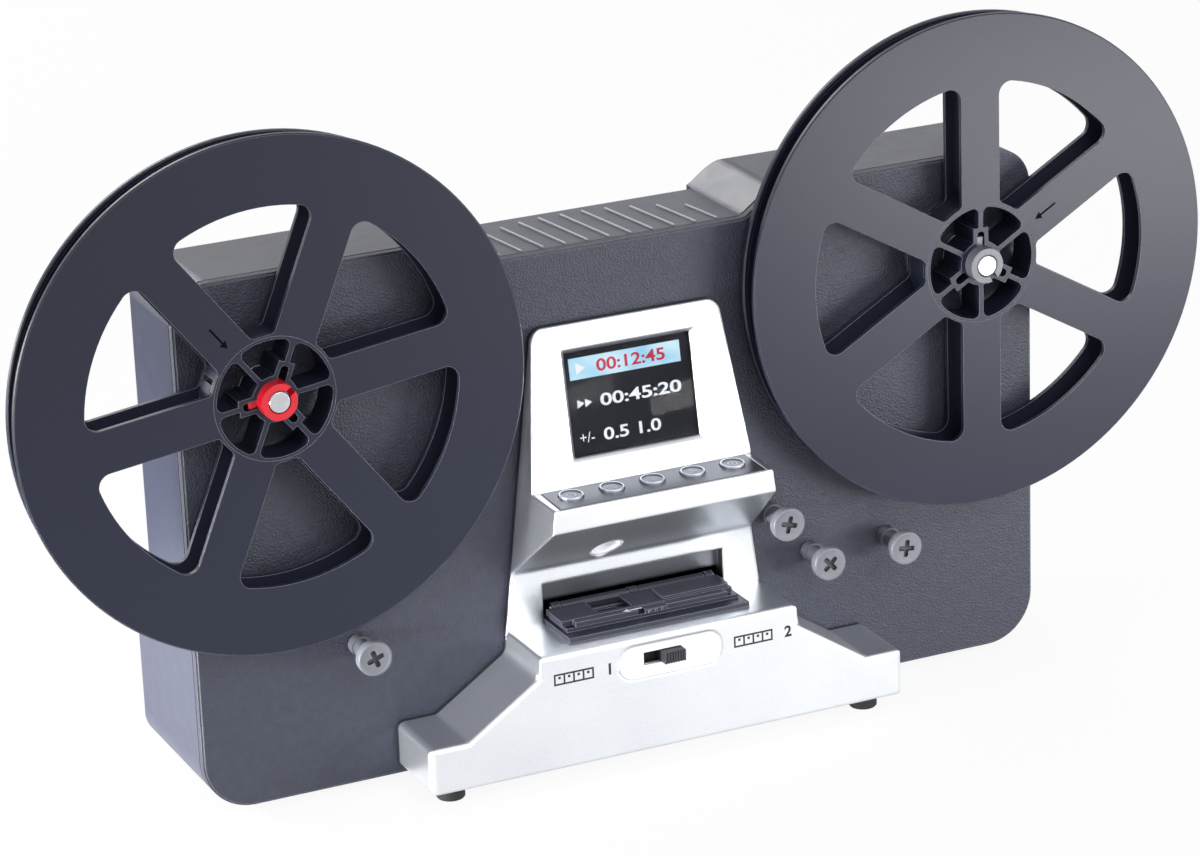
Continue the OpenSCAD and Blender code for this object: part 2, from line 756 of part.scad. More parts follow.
// A flange of diameter d with a bead round its rim; arms at 30 degrees and on
module flange(d) {
  r = d / 2;
  f = flange_thick;
  difference() {
    rotate_extrude($fn = 128) polygon([[hub_r - 0.9 + run, 0], [r - 0.4, 0], [r, 0.4], [r, f + 0.2],
      [r - 0.4, f + 0.6], [r - 1.6, f + 0.6], [r - 1.8, f], [hub_r - 0.9 + run, f]]);
    translate([0, 0, -1]) linear_extrude(height = f + 2)
      openings_2d(hub_r, window_outer, spoke_width, 2.4, 4.6);
  }
}

// The hub between the flanges with its sleeve, webs and drive notches
module hub() {
  b = hub_bore / 2;
  difference() {
    union() {
      translate([0, 0, 0.1]) linear_extrude(height = reel_width - 0.3) difference() {
        union() {
          difference() {
            circle(r = hub_r - 0.9);
            openings_2d(b + 1.6, hub_r - 1.9, 1.7, 1, 2.2);
          }
          for (k = [0 : 2]) rotate(90 + 120 * k) translate([b, -2.9]) square([6.4, 5.8]);
        }
        circle(r = b);
        for (k = [0 : 2]) rotate(90 + 120 * k) {
          translate([0, -1.5]) square([b + 3.6, 3]);
          translate([b + 3.6, 0]) circle(r = 1.5);
        }
      }
      translate([0, 0, flange_thick]) linear_extrude(height = reel_width - 2 * flange_thick)
        difference() {
          circle(r = hub_r);
          circle(r = hub_r - 1.9);
        }
    }
    rotate(60) translate([hub_r - 4, -0.9, flange_thick + 0.6])
      cube([8, 1.8, reel_width - 2 * flange_thick - 1.2]);
  }
}

// C-shaped sleeve that fits the spindle into the hub, with one drive key
module adapter() {
  difference() {
    union() {
      translate([0, 0, -4.2]) cylinder(r = hub_bore / 2 - run, h = reel_width + 4.2 - 1);
      translate([0, 0, 1]) rotate(90) translate([hub_bore / 2 - 0.5, -1.3, 0]) cube([3.4, 2.6, 8]);
    }
    translate([0, 0, -6]) cylinder(r = spin_r + eps, h = 40);
    rotate(-60) translate([0, -1.2, -6]) cube([12, 2.4, 40]);
  }
}

// Places reel parts: z of the child runs from the front flange to the back
module at_reel(x, z, a) {
  place() translate([x, -reel_front, z]) rotate([-90, 0, 0]) rotate(a) mirror([0, 1, 0]) children();
}

module at_takeup() {
  at_reel(-reel_offset, takeup_height, -97.5) children();
}

module at_supply() {
  at_reel(reel_offset, supply_height, 0) children();
}

// Spindle with a shoulder behind the reel and a flat tip
module spindle(tail) {
  n = reel_front;
  translate([0, 0, -4.4]) cylinder(r1 = spin_r - 0.6, r2 = spin_r, h = 0.8);
  translate([0, 0, -3.6 - eps]) cylinder(r = spin_r, h = n + 3.6 + tail);
  translate([0, 0, reel_width - 0.2]) cylinder(r = 8, h = reel_back - bush_flange - gap + 0.2);
}

module takeup_spindle() { color("#c8ccd4") at_takeup() spindle(bush_end + gap + 7); }
module takeup_adapter() { color("#d5202f") at_takeup() adapter(); }
module takeup_hub() { color("#26272c") at_takeup() hub(); }
module takeup_flange_front() { color("#34353d") at_takeup() flange(reel_dia); }
module takeup_flange_back() {
  color("#34353d") at_takeup() translate([0, 0, reel_width]) mirror([0, 0, 1])
    flange(reel_back_dia);
}

// Grooved wheel of radius r and width 6, its bore b
module wheel(r, b) {
  rotate_extrude() polygon([[b, 0], [r + 1, 0], [r + 1, 1.2], [r, 1.8], [r, 4.2],
    [r + 1, 4.8], [r + 1, 6], [b, 6]]);
}

module takeup_pulley() {
  color("#8b8d94") at_takeup() translate([0, 0, reel_front + bush_end + gap])
    wheel(takeup_r, spin_r + eps);
}

module supply_spindle() {
  color("#c8ccd4") at_supply() {
    spindle(bush_end + gap + 4);
    translate([0, 0, reel_front + bush_end + gap]) cylinder(r = 7, h = 3);
  }
}
module supply_adapter() { color("#55575f") at_supply() adapter(); }
module supply_hub() { color("#26272c") at_supply() hub(); }
module supply_flange_front() { color("#34353d") at_supply() flange(reel_dia); }
module supply_flange_back() {
  color("#34353d") at_supply() translate([0, 0, reel_width]) mirror([0, 0, 1])
    flange(reel_back_dia);
}

module spindle_bushes() {
  color("#2f3036") place() for (p = [[-reel_offset, takeup_height], [reel_offset, supply_height]])
    difference() {
      union() {
        rod_y(p[0], p[1], 9.5, -bush_flange, 0);
        rod_y(p[0], p[1], 7, -bush_flange, bush_end);
        rod_y(p[0], p[1], 10.5, cover_thick, cover_thick + 3);
      }
      rod_y(p[0], p[1], spin_r + run, -5, bush_end + 1);
    }
}

// Drive

module takeup_motor() {
  color("#9b9da4") place() difference() {
    union() {
      rod_y(motor_x, motor_z, 12, belt_y + 5.4, case_depth - wall - 1);
      translate([motor_x, 0, motor_z]) rotate([0, 27, 0])
        box([-9, belt_y + 4, -21], [9, belt_y + 5.5, 21]);
    }
    rod_y(motor_x, motor_z, 1 + run, belt_y, case_depth - 12);
  }
}

module motor_pulley() {
  color("#6d6f76") place() {
    translate([motor_x, belt_y - 3, motor_z]) rotate([-90, 0, 0]) wheel(motor_r, 0.9);
    rod_y(motor_x, motor_z, 1, belt_y - 3.5, case_depth - 14);
  }
}

// Points of a loop of radius a and b round two wheels at distance d along x
function belt_points(a, b, d) = let (t = acos((a - b) / d)) concat(
  [for (i = [0 : 40]) a * [cos(t + i * (360 - 2 * t) / 40), sin(t + i * (360 - 2 * t) / 40)]],
  [for (i = [0 : 20]) [d, 0] + b * [cos(-t + i * t / 10), sin(-t + i * t / 10)]]);

module drive_belt() {
  d = norm([motor_x + reel_offset, motor_z - takeup_height]);
  t = atan2(motor_z - takeup_height, motor_x + reel_offset);
  color("#1a1a1c") place() translate([-reel_offset, belt_y + 1, takeup_height])
    rotate([90, 0, 0]) rotate(t) linear_extrude(height = 2) difference() {
      polygon(belt_points(takeup_r + 1.2, motor_r + 1.2, d));
      polygon(belt_points(takeup_r + 0.2, motor_r + 0.2, d));
    }
}

// Guide rollers

module guide_screws() {
  color("#9ea0a8") place() for (p = rollers) difference() {
    union() {
      rod_y(p[0], p[1], 1.5, -15, 12);
      rod_y(p[0], p[1], roller_head / 2, -film_y - 7.4, -film_y - 4.6);
      rod_y(p[0], p[1], roller_head / 2 - 0.6, -film_y - 7.8, -film_y - 7);
    }
    for (a = [35, 125]) translate([p[0], -film_y - 9, p[1]]) rotate([0, a, 0])
      translate([-3.2, 0, -0.8]) cube([6.4, 3.2, 1.6]);
  }
}

module guide_roller(k) {
  p = rollers[k];
  color("#6f7179") place() difference() {
    union() {
      rod_y(p[0], p[1], roller_dia / 2, -film_y - 4.6 + gap, -gap);
      rod_y(p[0], p[1], roller_dia / 2 + 0.5, -film_y + 4.6, -gap);
    }
    rod_y(p[0], p[1], 1.5 + run, -20, 2);
  }
}

module guide_roller_1() { guide_roller(0); }
module guide_roller_2() { guide_roller(1); }
module guide_roller_3() { guide_roller(2); }
module guide_roller_4() { guide_roller(3); }

// Fasteners, feet and sockets

module case_screws() {
  color("#8f9299") place() for (s = [-1, 1], p = case_screw_at) difference() {
    union() {
      rod_y(s * p[0], p[1], 1.5, 5, seat_y + 1);
      rod_y(s * p[0], p[1], 3, seat_y, seat_y + 2.2);
    }
    for (a = [0, 90]) translate([s * p[0], seat_y + 1.2, p[1]]) rotate([0, a, 0])
      translate([-1.8, 0, -0.4]) cube([3.6, 2, 0.8]);
  }
}

module console_screws() {
  color("#8f9299") place() for (s = [-1, 1], p = console_screw_at) difference() {
    union() {
      rod_y(s * p[0], p[1], 1.3, -3, cover_thick + 1);
      rod_y(s * p[0], p[1], 2.8, cover_thick, cover_thick + 1.8);
    }
    for (a = [0, 90]) translate([s * p[0], cover_thick + 0.9, p[1]]) rotate([0, a, 0])
      translate([-1.6, 0, -0.35]) cube([3.2, 2, 0.7]);
  }
}

module rubber_feet() {
  color("#1d1d20") place() for (s = [-1, 1], p = feet_at)
    translate([s * p[0], p[1], -foot_height]) {
      cylinder(r1 = 4.6, r2 = 5, h = 0.5);
      translate([0, 0, 0.5 - eps]) cylinder(r = 5, h = foot_height + p[2] - 0.5 + eps);
    }
}

module usb_socket() {
  y = heel_depth;
  color("#b9bcc2") place() {
    difference() {
      box([-124, y - 9, 30], [-116, y - 0.5, 34]);
      box([-123.4, y - 6, 30.6], [-116.6, y + 1, 33.4]);
    }
    box([-122, y - 6.2, 31.6], [-118, y - 1.5, 32.4]);
  }
}

module card_slot() {
  y = heel_depth;
  color("#9c9ea5") place() {
    difference() {
      box([-98, y - 30, 29.7], [-72, y - 1, 33.2]);
      box([-97.2, y - 26, 30.4], [-72.8, y + 1, 32.6]);
    }
  }
}

rear_case();
front_cover();
console_cover();
switch_plate();
switch_body();
screen_window();
lcd_module();
button_panel();
button_board();
main_board();
camera_board();
camera_lens();
lens_shade();
light_box();
claw_drive();
gate_base();
gate_hinge_pin();
spindle_bushes();
guide_screws();
takeup_motor();
drive_belt();
case_screws();
console_screws();
rubber_feet();
usb_socket();
card_slot();
takeup_spindle();
takeup_adapter();
takeup_hub();
takeup_flange_front();
takeup_flange_back();
takeup_pulley();
supply_spindle();
supply_adapter();
supply_hub();
supply_flange_front();
supply_flange_back();
motor_pulley();
guide_roller_1();
guide_roller_2();
guide_roller_3();
guide_roller_4();
button_power();
button_menu();
button_left();
button_right();
button_ok();
switch_knob();
gate_cover();
gate_latch();
film_claw();
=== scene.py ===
"""Looks of the tabletop film scanner: finishes, printed marks, screen, rollers and studio."""

import logging
import math
from collections.abc import Callable, Sequence
from dataclasses import dataclass
from enum import Enum
from functools import lru_cache
from typing import ClassVar

import bpy
from mathutils import Matrix, Vector


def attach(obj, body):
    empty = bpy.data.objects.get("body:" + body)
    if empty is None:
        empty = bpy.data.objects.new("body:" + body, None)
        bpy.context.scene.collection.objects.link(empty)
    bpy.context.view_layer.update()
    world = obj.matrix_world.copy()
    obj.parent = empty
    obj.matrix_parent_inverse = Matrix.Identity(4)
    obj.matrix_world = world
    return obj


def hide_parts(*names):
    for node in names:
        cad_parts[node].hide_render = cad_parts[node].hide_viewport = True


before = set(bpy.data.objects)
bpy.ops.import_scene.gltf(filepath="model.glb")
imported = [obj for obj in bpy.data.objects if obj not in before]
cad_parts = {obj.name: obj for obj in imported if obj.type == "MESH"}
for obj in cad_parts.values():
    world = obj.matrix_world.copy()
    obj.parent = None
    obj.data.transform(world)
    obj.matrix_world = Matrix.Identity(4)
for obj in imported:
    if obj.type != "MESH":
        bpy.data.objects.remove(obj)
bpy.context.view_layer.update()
LOG = logging.getLogger("film_scanner")
MM = 0.001
PRINT_THICK = 0.03
LIT_THICK = 0.02
ARROW_WIDE = 0.7
SMOOTH_ANGLE = 35.0
Colour = tuple[float, float, float]
Point = tuple[float, float, float]
Pair = tuple[float, float]
Piece = bpy.types.Object
Socket = bpy.types.NodeSocket


def linear(colour: Colour) -> tuple[float, float, float, float]:
    """Turns a colour as seen on a display into the values a shader works with.

    Args:
        colour: Red, green and blue from 0 to 255.

    Returns:
        Red, green, blue and alpha in linear light.
    """
    parts = [c / 255 for c in colour]
    lit = [p / 12.92 if p <= 0.04045 else ((p + 0.055) / 1.055) ** 2.4 for p in parts]
    return (lit[0], lit[1], lit[2], 1.0)


# Places on the part


@dataclass(frozen=True)
class Plane:
    """A flat face of the part, turned about X, that pieces are laid on.

    Its x runs along the part, its v up the face and its lift away from it.
    """

    origin: Point
    lean: float

    def at(self, x: float, v: float, lift: float = 0.0, turn: float = 0.0) -> Matrix:
        """Gives the matrix that lays a flat piece on the face.

        Args:
            x: Place along the face, mm.
            v: Place up the face, mm.
            lift: Height above the face, mm.
            turn: Turn about the face's normal, degrees.

        Returns:
            The matrix from the piece's own frame to the part's frame.
        """
        base = Matrix.Translation(Vector(self.origin) * MM)
        lean = Matrix.Rotation(math.radians(self.lean), 4, "X")
        place = Matrix.Translation(Vector((x, v, lift)) * MM)
        return base @ lean @ place @ Matrix.Rotation(math.radians(turn), 4, "Z")


PANEL = Plane((0.0, -27.65, 100.2), 79.723)
LEDGE = Plane((0.0, -45.45, 99.6), 1.931)
BASE_FRONT = Plane((0.0, -45.25, 3.0), 90.0)
CASE_FRONT = Plane((0.0, -14.75, 3.0), 90.0)
GATE_TOP = Plane((0.0, -14.75, 53.0), 0.0)


# Modelling by hand


class Bench:
    """Short forms of the modelling operators that shape the new pieces."""

    @staticmethod
    def clear() -> None:
        """Leaves edit mode and deselects everything."""
        if bpy.context.mode != "OBJECT":
            Bench.mode("OBJECT")
        bpy.ops.object.select_all(action="DESELECT")

    @staticmethod
    def mode(name: str) -> None:
        """Changes the active piece's mode to EDIT or OBJECT."""
        bpy.ops.object.mode_set(mode=name)

    @staticmethod
    def settle() -> Piece:
        """Applies the selected pieces' place, turn and scale and gives the active one."""
        bpy.ops.object.transform_apply(location=True, rotation=True, scale=True)
        return bpy.context.object

    @classmethod
    def take(cls, piece: Piece) -> Piece:
        """Makes a piece the only selected and the active one."""
        cls.clear()
        piece.select_set(True)
        bpy.context.view_layer.objects.active = piece
        return piece

    @classmethod
    def edit(cls, piece: Piece) -> None:
        """Opens a piece in edit mode with all of it selected."""
        cls.take(piece)
        cls.mode("EDIT")
        bpy.ops.mesh.select_all(action="SELECT")

    @classmethod
    def modify(cls, piece: Piece, kind: str, **settings: object) -> Piece:
        """Adds a modifier to a piece and applies it.

        Args:
            piece: The piece.
            kind: The modifier's type name.
            **settings: Its property values.

        Returns:
            The same piece.
        """
        cls.take(piece)
        bpy.ops.object.modifier_add(type=kind)
        modifier = piece.modifiers[-1]
        for key, value in settings.items():
            setattr(modifier, key, value)
        bpy.ops.object.modifier_apply(modifier=modifier.name)
        return piece

    @classmethod
    def plate(cls, width: float, height: float, x: float = 0.0, y: float = 0.0) -> Piece:
        """Adds a flat rectangle in the XY plane.

        Args:
            width: Size along x, mm.
            height: Size along y, mm.
            x: Middle along x, mm.
            y: Middle along y, mm.

        Returns:
            The flat piece.
        """
        cls.clear()
        bpy.ops.mesh.primitive_plane_add(size=MM, location=(x * MM, y * MM, 0.0))
        bpy.context.object.scale = (width, height, 1.0)
        return cls.settle()

    @classmethod
    def disc(cls, radius: float, sides: int, turn: float = 0.0, x: float = 0.0, y: float = 0.0) -> Piece:
        """Adds a flat disc or regular polygon in the XY plane.

        Args:
            radius: Distance of its corners from its middle, mm.
            sides: Number of corners.
            turn: Turn of the first corner, degrees.
            x: Middle along x, mm.
            y: Middle along y, mm.

        Returns:
            The flat piece.
        """
        cls.clear()
        bpy.ops.mesh.primitive_circle_add(
            vertices=sides, radius=radius * MM, fill_type="NGON",
            location=(x * MM, y * MM, 0.0), rotation=(0.0, 0.0, math.radians(turn)))
        return cls.settle()

    @classmethod
    def arrow(cls, shaft: float, middle: float, head: float, tip: float) -> Piece:
        """Models a thin arrow that points to the left, in the XY plane.

        Args:
            shaft: Length of its shaft, mm.
            middle: The shaft's middle along x, mm.
            head: Distance of the head's corners from the head's middle, mm.
            tip: The head's middle along x, mm.

        Returns:
            The arrow, as thick as print.
        """
        parts = [cls.plate(shaft, ARROW_WIDE, middle), cls.disc(head, 3, turn=90.0, x=tip)]
        return cls.thicken(cls.join(parts), PRINT_THICK)

    @classmethod
    def rod(cls, radius: float, length: float, sides: int, top: float) -> Piece:
        """Adds a cylinder along Z.

        Args:
            radius: Its radius, mm.
            length: Its length, mm.
            sides: Number of faces around it.
            top: Height of its top, mm.

        Returns:
            The cylinder.
        """
        cls.clear()
        middle = (0, 0, (top - length / 2) * MM)
        bpy.ops.mesh.primitive_cylinder_add(
            vertices=sides, radius=radius * MM, depth=length * MM, location=middle)
        return cls.settle()

    @classmethod
    def ring(cls, outer: float, inner: float, gap: float = 0.0, sides: int = 48) -> Piece:
        """Adds a flat ring, open at its top where a gap is asked for.

        Args:
            outer: Outer radius, mm.
            inner: Inner radius, mm.
            gap: Half angle of the opening at the top, degrees.
            sides: Number of corners.

        Returns:
            The flat ring.
        """
        piece = cls.disc(outer, sides)
        cls.edit(piece)
        bpy.ops.mesh.inset(thickness=(outer - inner) * MM, depth=0.0)
        bpy.ops.mesh.delete(type="FACE")
        if gap > 0.0:
            cls.pick(piece, lambda c, n: abs(math.degrees(math.atan2(c.x, c.y))) < gap)
            bpy.ops.mesh.delete(type="FACE")
        cls.mode("OBJECT")
        return piece

    @classmethod
    def digits(cls, words: str, height: float, width: float | None = None, bold: float = 0.0) -> Piece:
        """Sets plain figures as a flat mesh, centred on the origin.

        Args:
            words: The figures and signs to set.
            height: Height of the figures, mm.
            width: Width of the line, mm, or None to keep the figures' own.
            bold: How far the outlines are thickened, as a share of their height.

        Returns:
            The flat piece.
        """
        cls.clear()
        bpy.ops.object.text_add()
        text = bpy.context.object.data
        text.body = words
        text.offset = bold
        bpy.ops.object.convert(target="MESH")
        piece = bpy.context.object
        low = Vector([min(v.co[i] for v in piece.data.vertices) for i in range(3)])
        high = Vector([max(v.co[i] for v in piece.data.vertices) for i in range(3)])
        up = height * MM / (high.y - low.y)
        along = up if width is None else width * MM / (high.x - low.x)
        middle = (low + high) / 2
        piece.matrix_world = Matrix.Diagonal((along, up, 1.0, 1.0)) @ Matrix.Translation(-middle)
        cls.take(piece)
        return cls.settle()

    @classmethod
    def join(cls, pieces: Sequence[Piece]) -> Piece:
        """Joins pieces into one.

        Args:
            pieces: The pieces, the first of which takes in the others.

        Returns:
            The joined piece.
        """
        cls.take(pieces[0])
        for piece in pieces[1:]:
            piece.select_set(True)
        if len(pieces) > 1:
            bpy.ops.object.join()
        return bpy.context.object

    @classmethod
    def clean(cls, piece: Piece, reach: float = 0.003) -> Piece:
        """Merges points that lie together and takes out slivers.

        Args:
            piece: The piece.
            reach: Points closer than this are merged, mm.

        Returns:
            The same piece.
        """
        cls.edit(piece)
        bpy.ops.mesh.remove_doubles(threshold=reach * MM)
        bpy.ops.mesh.dissolve_degenerate(threshold=reach * MM)
        cls.mode("OBJECT")
        return piece

    @classmethod
    def thicken(cls, piece: Piece, thick: float) -> Piece:
        """Gives a flat piece a thickness upwards, with its faces outwards.

        Args:
            piece: A flat piece in the XY plane.
            thick: Thickness, mm.

        Returns:
            The same piece.
        """
        cls.edit(cls.clean(piece))
        bpy.ops.mesh.normals_make_consistent(inside=False)
        cls.mode("OBJECT")
        if piece.data.polygons[0].normal.z < 0:
            cls.edit(piece)
            bpy.ops.mesh.flip_normals()
            cls.mode("OBJECT")
        return cls.modify(piece, "SOLIDIFY", thickness=thick * MM, offset=1.0)

    @classmethod
    def block(cls, size: Point, round_by: float, steps: int = 2) -> Piece:
        """Adds a block about the origin with rounded edges.

        Args:
            size: Its three sizes, mm.
            round_by: Width of the rounding, mm.
            steps: Number of faces across the rounding.

        Returns:
            The block.
        """
        cls.clear()
        bpy.ops.mesh.primitive_cube_add(size=MM)
        bpy.context.object.scale = size
        return cls.soften(cls.settle(), round_by, steps)

    @classmethod
    def soften(cls, piece: Piece, width: float, steps: int = 2, angle: float = 30.0) -> Piece:
        """Rounds a piece's edges with an applied bevel.

        Args:
            piece: The piece.
            width: Width of the rounding, mm.
            steps: Number of faces across the rounding.
            angle: Edges sharper than this are rounded, degrees.

        Returns:
            The same piece.
        """
        return cls.modify(
            piece, "BEVEL", width=width * MM, segments=steps, limit_method="ANGLE",
            angle_limit=math.radians(angle))

    @classmethod
    def pick(cls, piece: Piece, rule: Callable[[Vector, Vector], bool]) -> None:
        """Selects faces in edit mode by their middle, in mm, and their normal.

        Args:
            piece: The active piece.
            rule: Says for a middle and a normal whether the face is wanted.
        """
        cls.mode("EDIT")
        bpy.ops.mesh.select_mode(type="FACE")
        bpy.ops.mesh.select_all(action="DESELECT")
        cls.mode("OBJECT")
        for face in piece.data.polygons:
            face.select = rule(face.center / MM, face.normal)
        cls.mode("EDIT")

    @classmethod
    def cut(cls, piece: Piece, tool: Piece) -> Piece:
        """Takes one solid out of another and removes the tool.

        Args:
            piece: The solid that stays.
            tool: The solid that is taken out of it.

        Returns:
            The piece with the cut.
        """
        cls.modify(piece, "BOOLEAN", operation="DIFFERENCE", object=tool)
        bpy.data.objects.remove(tool)
        return piece

    @classmethod
    def set_down(cls, piece: Piece, name: str, place: Matrix, body: str,
                 finish: "Finish", slot: str) -> Piece:
        """Puts a finished piece in its place, names it, dresses it and lets it ride.

        Args:
            piece: The piece in its own frame.
            name: Its name.
            place: Matrix to the part's frame.
            body: The body it moves with.
            finish: Its finish.
            slot: Name of the record's material slot for the piece; not used.

        Returns:
            The same piece.
        """
        cls.take(piece)
        piece.matrix_world = place
        cls.settle()
        bpy.ops.object.shade_smooth_by_angle(angle=math.radians(SMOOTH_ANGLE))
        piece.name = name
        piece.data.name = name
        piece.data.materials.clear()
        piece.data.materials.append(paint(finish))
        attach(piece, body)
        cls.clear()
        LOG.info("piece %s on %s", name, body)
        return piece


# Finishes


class ShaderTree:
    """The node tree of a material or world, with short forms of the nodes used here."""

    def __init__(self, owner: bpy.types.Material | bpy.types.World,
                 shader: str = "Principled BSDF") -> None:
        """Starts a tree with one shader.

        Args:
            owner: The new material or world.
            shader: Name of the shader node that it comes with.
        """
        self.owner = owner
        owner.use_nodes = True
        self.nodes = owner.node_tree.nodes
        self.links = owner.node_tree.links
        self.shader = self.nodes[shader]

    def put(self, value: object, target: Socket) -> None:
        """Links a socket to an input, or sets a plain value on it.

        Args:
            value: A socket or a plain value.
            target: The input.
        """
        if isinstance(value, Socket):
            self.links.new(value, target)
        else:
            target.default_value = value

    def add(self, kind: str, inputs: dict[str | int, object] | None = None,
            **settings: object) -> bpy.types.Node:
        """Adds a node.

        Args:
            kind: The node's type name.
            inputs: Sockets or plain values for its inputs.
            **settings: Property values.

        Returns:
            The node.
        """
        node = self.nodes.new(kind)
        for key, value in settings.items():
            setattr(node, key, value)
        for key, value in (inputs or {}).items():
            self.put(value, node.inputs[key])
        return node

    def set(self, **values: object) -> None:
        """Gives the shader's inputs sockets or plain values, with _ for a space in a name."""
        for key, value in values.items():
            self.put(value, self.shader.inputs[key.replace("_", " ")])

    def coords(self, scale: Sequence[float] = (1, 1, 1), shift: Sequence[float] = (0, 0, 0)) -> Socket:
        """Gives object coordinates, scaled and moved.

        Args:
            scale: Scale along each axis.
            shift: Move, m.

        Returns:
            The vector socket.
        """
        place = self.add("ShaderNodeTexCoord").outputs["Object"]
        inputs = {"Vector": place, "Location": shift, "Scale": scale}
        return self.add("ShaderNodeMapping", inputs).outputs["Vector"]

    def noise(self, size: float, detail: float = 2.0, rough: float = 0.5,
              vector: Socket | None = None) -> Socket:
        """Gives a soft random pattern.

        Args:
            size: Size of its patches, mm.
            detail: Number of finer layers.
            rough: Strength of the finer layers.
            vector: Coordinates, or None for plain object coordinates.

        Returns:
            The value socket.
        """
        place = vector or self.coords()
        inputs = {"Vector": place, "Scale": 1.0 / (size * MM), "Detail": detail, "Roughness": rough}
        return self.add("ShaderNodeTexNoise", inputs).outputs["Fac"]

    def cells(self, size: float, feature: str, **others: float) -> Socket:
        """Gives distances in a pattern of cells, such as a leather-like grain.

        Args:
            size: Size of the cells, mm.
            feature: What the distances are taken to.
            **others: Plain values for the node's other inputs.

        Returns:
            The value socket.
        """
        inputs = {"Vector": self.coords(), "Scale": 1.0 / (size * MM), **others}
        return self.add("ShaderNodeTexVoronoi", inputs, feature=feature).outputs["Distance"]

    def math(self, kind: str, first: Socket | float, second: Socket | float = 0.0,
             clamp: bool = False) -> Socket:
        """Works something out from two values, sockets or numbers.

        Args:
            kind: The operation's name.
            first: First value.
            second: Second value.
            clamp: Whether the result is kept from 0 to 1.

        Returns:
            The value socket.
        """
        inputs = {0: first, 1: second}
        return self.add("ShaderNodeMath", inputs, operation=kind, use_clamp=clamp).outputs[0]

    def mingle(self, first: Socket, second: Socket, share: float) -> Socket:
        """Adds up two values, with a share of the first and the rest of the second."""
        rest = self.math("MULTIPLY", second, 1.0 - share)
        return self.math("ADD", self.math("MULTIPLY", first, share), rest)

    def spread(self, value: Socket, low: float, high: float, start: float = 0.0,
               end: float = 1.0) -> Socket:
        """Maps a value from one range to another.

        Args:
            value: The value socket.
            low: Result at the start.
            high: Result at the end.
            start: Start of the range that is read.
            end: End of the range that is read.

        Returns:
            The value socket.
        """
        inputs = {"Value": value, "From Min": start, "From Max": end, "To Min": low, "To Max": high}
        return self.add("ShaderNodeMapRange", inputs).outputs["Result"]

    def blend(self, share: Socket, first: Colour, second: Colour) -> Socket:
        """Gives a colour between two colours.

        Args:
            share: Value socket, 0 for the first and 1 for the second.
            first: First colour, 0 to 255.
            second: Second colour, 0 to 255.

        Returns:
            The colour socket.
        """
        ramp = self.add("ShaderNodeValToRGB", {"Fac": share})
        ramp.color_ramp.elements[0].color = linear(first)
        ramp.color_ramp.elements[1].color = linear(second)
        return ramp.outputs["Color"]

    def over(self, colour: Socket, share: Socket, other: Colour) -> Socket:
        """Lays a plain colour over a colour.

        Args:
            colour: The colour socket below.
            share: Value socket, 0 for the colour below and 1 for the plain one.
            other: The plain colour, 0 to 255.

        Returns:
            The colour socket.
        """
        inputs = {"Factor": share, "A": colour, "B": linear(other)}
        return self.add("ShaderNodeMix", inputs, data_type="RGBA").outputs["Result"]

    def axis(self, name: str, vector: Socket | None = None) -> Socket:
        """Gives X, Y or Z of a vector, or of plain object coordinates."""
        return self.add("ShaderNodeSeparateXYZ", {0: vector or self.coords()}).outputs[name]

    def length(self, vector: Socket) -> Socket:
        """Gives a vector's length."""
        return self.add("ShaderNodeVectorMath", {0: vector}, operation="LENGTH").outputs["Value"]

    def edge(self, radius: float) -> tuple[Socket, Socket]:
        """Rounds the look of edges.

        Args:
            radius: Radius of the rounding, mm.

        Returns:
            The rounded normal, and a value that is high along edges.
        """
        rounded = self.add("ShaderNodeBevel", {"Radius": radius * MM}, samples=6).outputs["Normal"]
        flat = self.add("ShaderNodeNewGeometry").outputs["Normal"]
        dot = self.add("ShaderNodeVectorMath", {0: rounded, 1: flat}, operation="DOT_PRODUCT")
        return rounded, self.spread(dot.outputs["Value"], 1.0, 0.0, start=0.72, end=0.99)

    def bump(self, height: Socket, depth: float, normal: Socket | None = None) -> Socket:
        """Turns a height into a bumped normal.

        Args:
            height: Value socket from 0 to 1.
            depth: Height of the relief, mm.
            normal: Normal to start from, or None for the surface's own.

        Returns:
            The normal socket.
        """
        inputs = {"Strength": 1.0, "Distance": depth * MM, "Height": height}
        if normal is not None:
            inputs["Normal"] = normal
        return self.add("ShaderNodeBump", inputs).outputs["Normal"]


class Grain(Enum):
    """Moulded surface textures."""

    LEATHER = "leather"
    SPARK = "spark"
    SATIN = "satin"


@dataclass(frozen=True)
class Finish:
    """A surface finish with its colour, from 0 to 255, and roughness."""

    name: str
    colour: Colour
    roughness: float = 0.4
    vary: ClassVar[float] = 0.08
    tones: ClassVar[Pair] = (0.86, 1.08)

    def draw(self, tree: ShaderTree) -> None:
        """Draws the finish's nodes; each kind of finish has its own."""
        raise NotImplementedError

    def tint(self, tree: ShaderTree, colour: Socket) -> Socket:
        """Gives the last word on the colour; a plain finish leaves it as it is."""
        return colour

    def shade(self, share: float) -> Colour:
        """Gives the finish's colour made lighter or darker by a share."""
        return tuple(min(255.0, max(0.0, c * share)) for c in self.colour)

    def toned(self, tree: ShaderTree, value: Socket) -> Socket:
        """Gives the colour, which a value from 0 to 1 takes from the darker to the lighter tone."""
        return tree.blend(value, *(self.shade(tone) for tone in self.tones))

    def uneven(self, tree: ShaderTree, value: Socket) -> Socket:
        """Gives the roughness, which a value from 0 to 1 varies."""
        return tree.spread(value, self.roughness - self.vary, self.roughness + self.vary)


@lru_cache(maxsize=None)
def paint(finish: Finish) -> bpy.types.Material:
    """Makes a finish's material once.

    Args:
        finish: The finish.

    Returns:
        Its material.
    """
    tree = ShaderTree(bpy.data.materials.new(finish.name))
    finish.draw(tree)
    return tree.owner


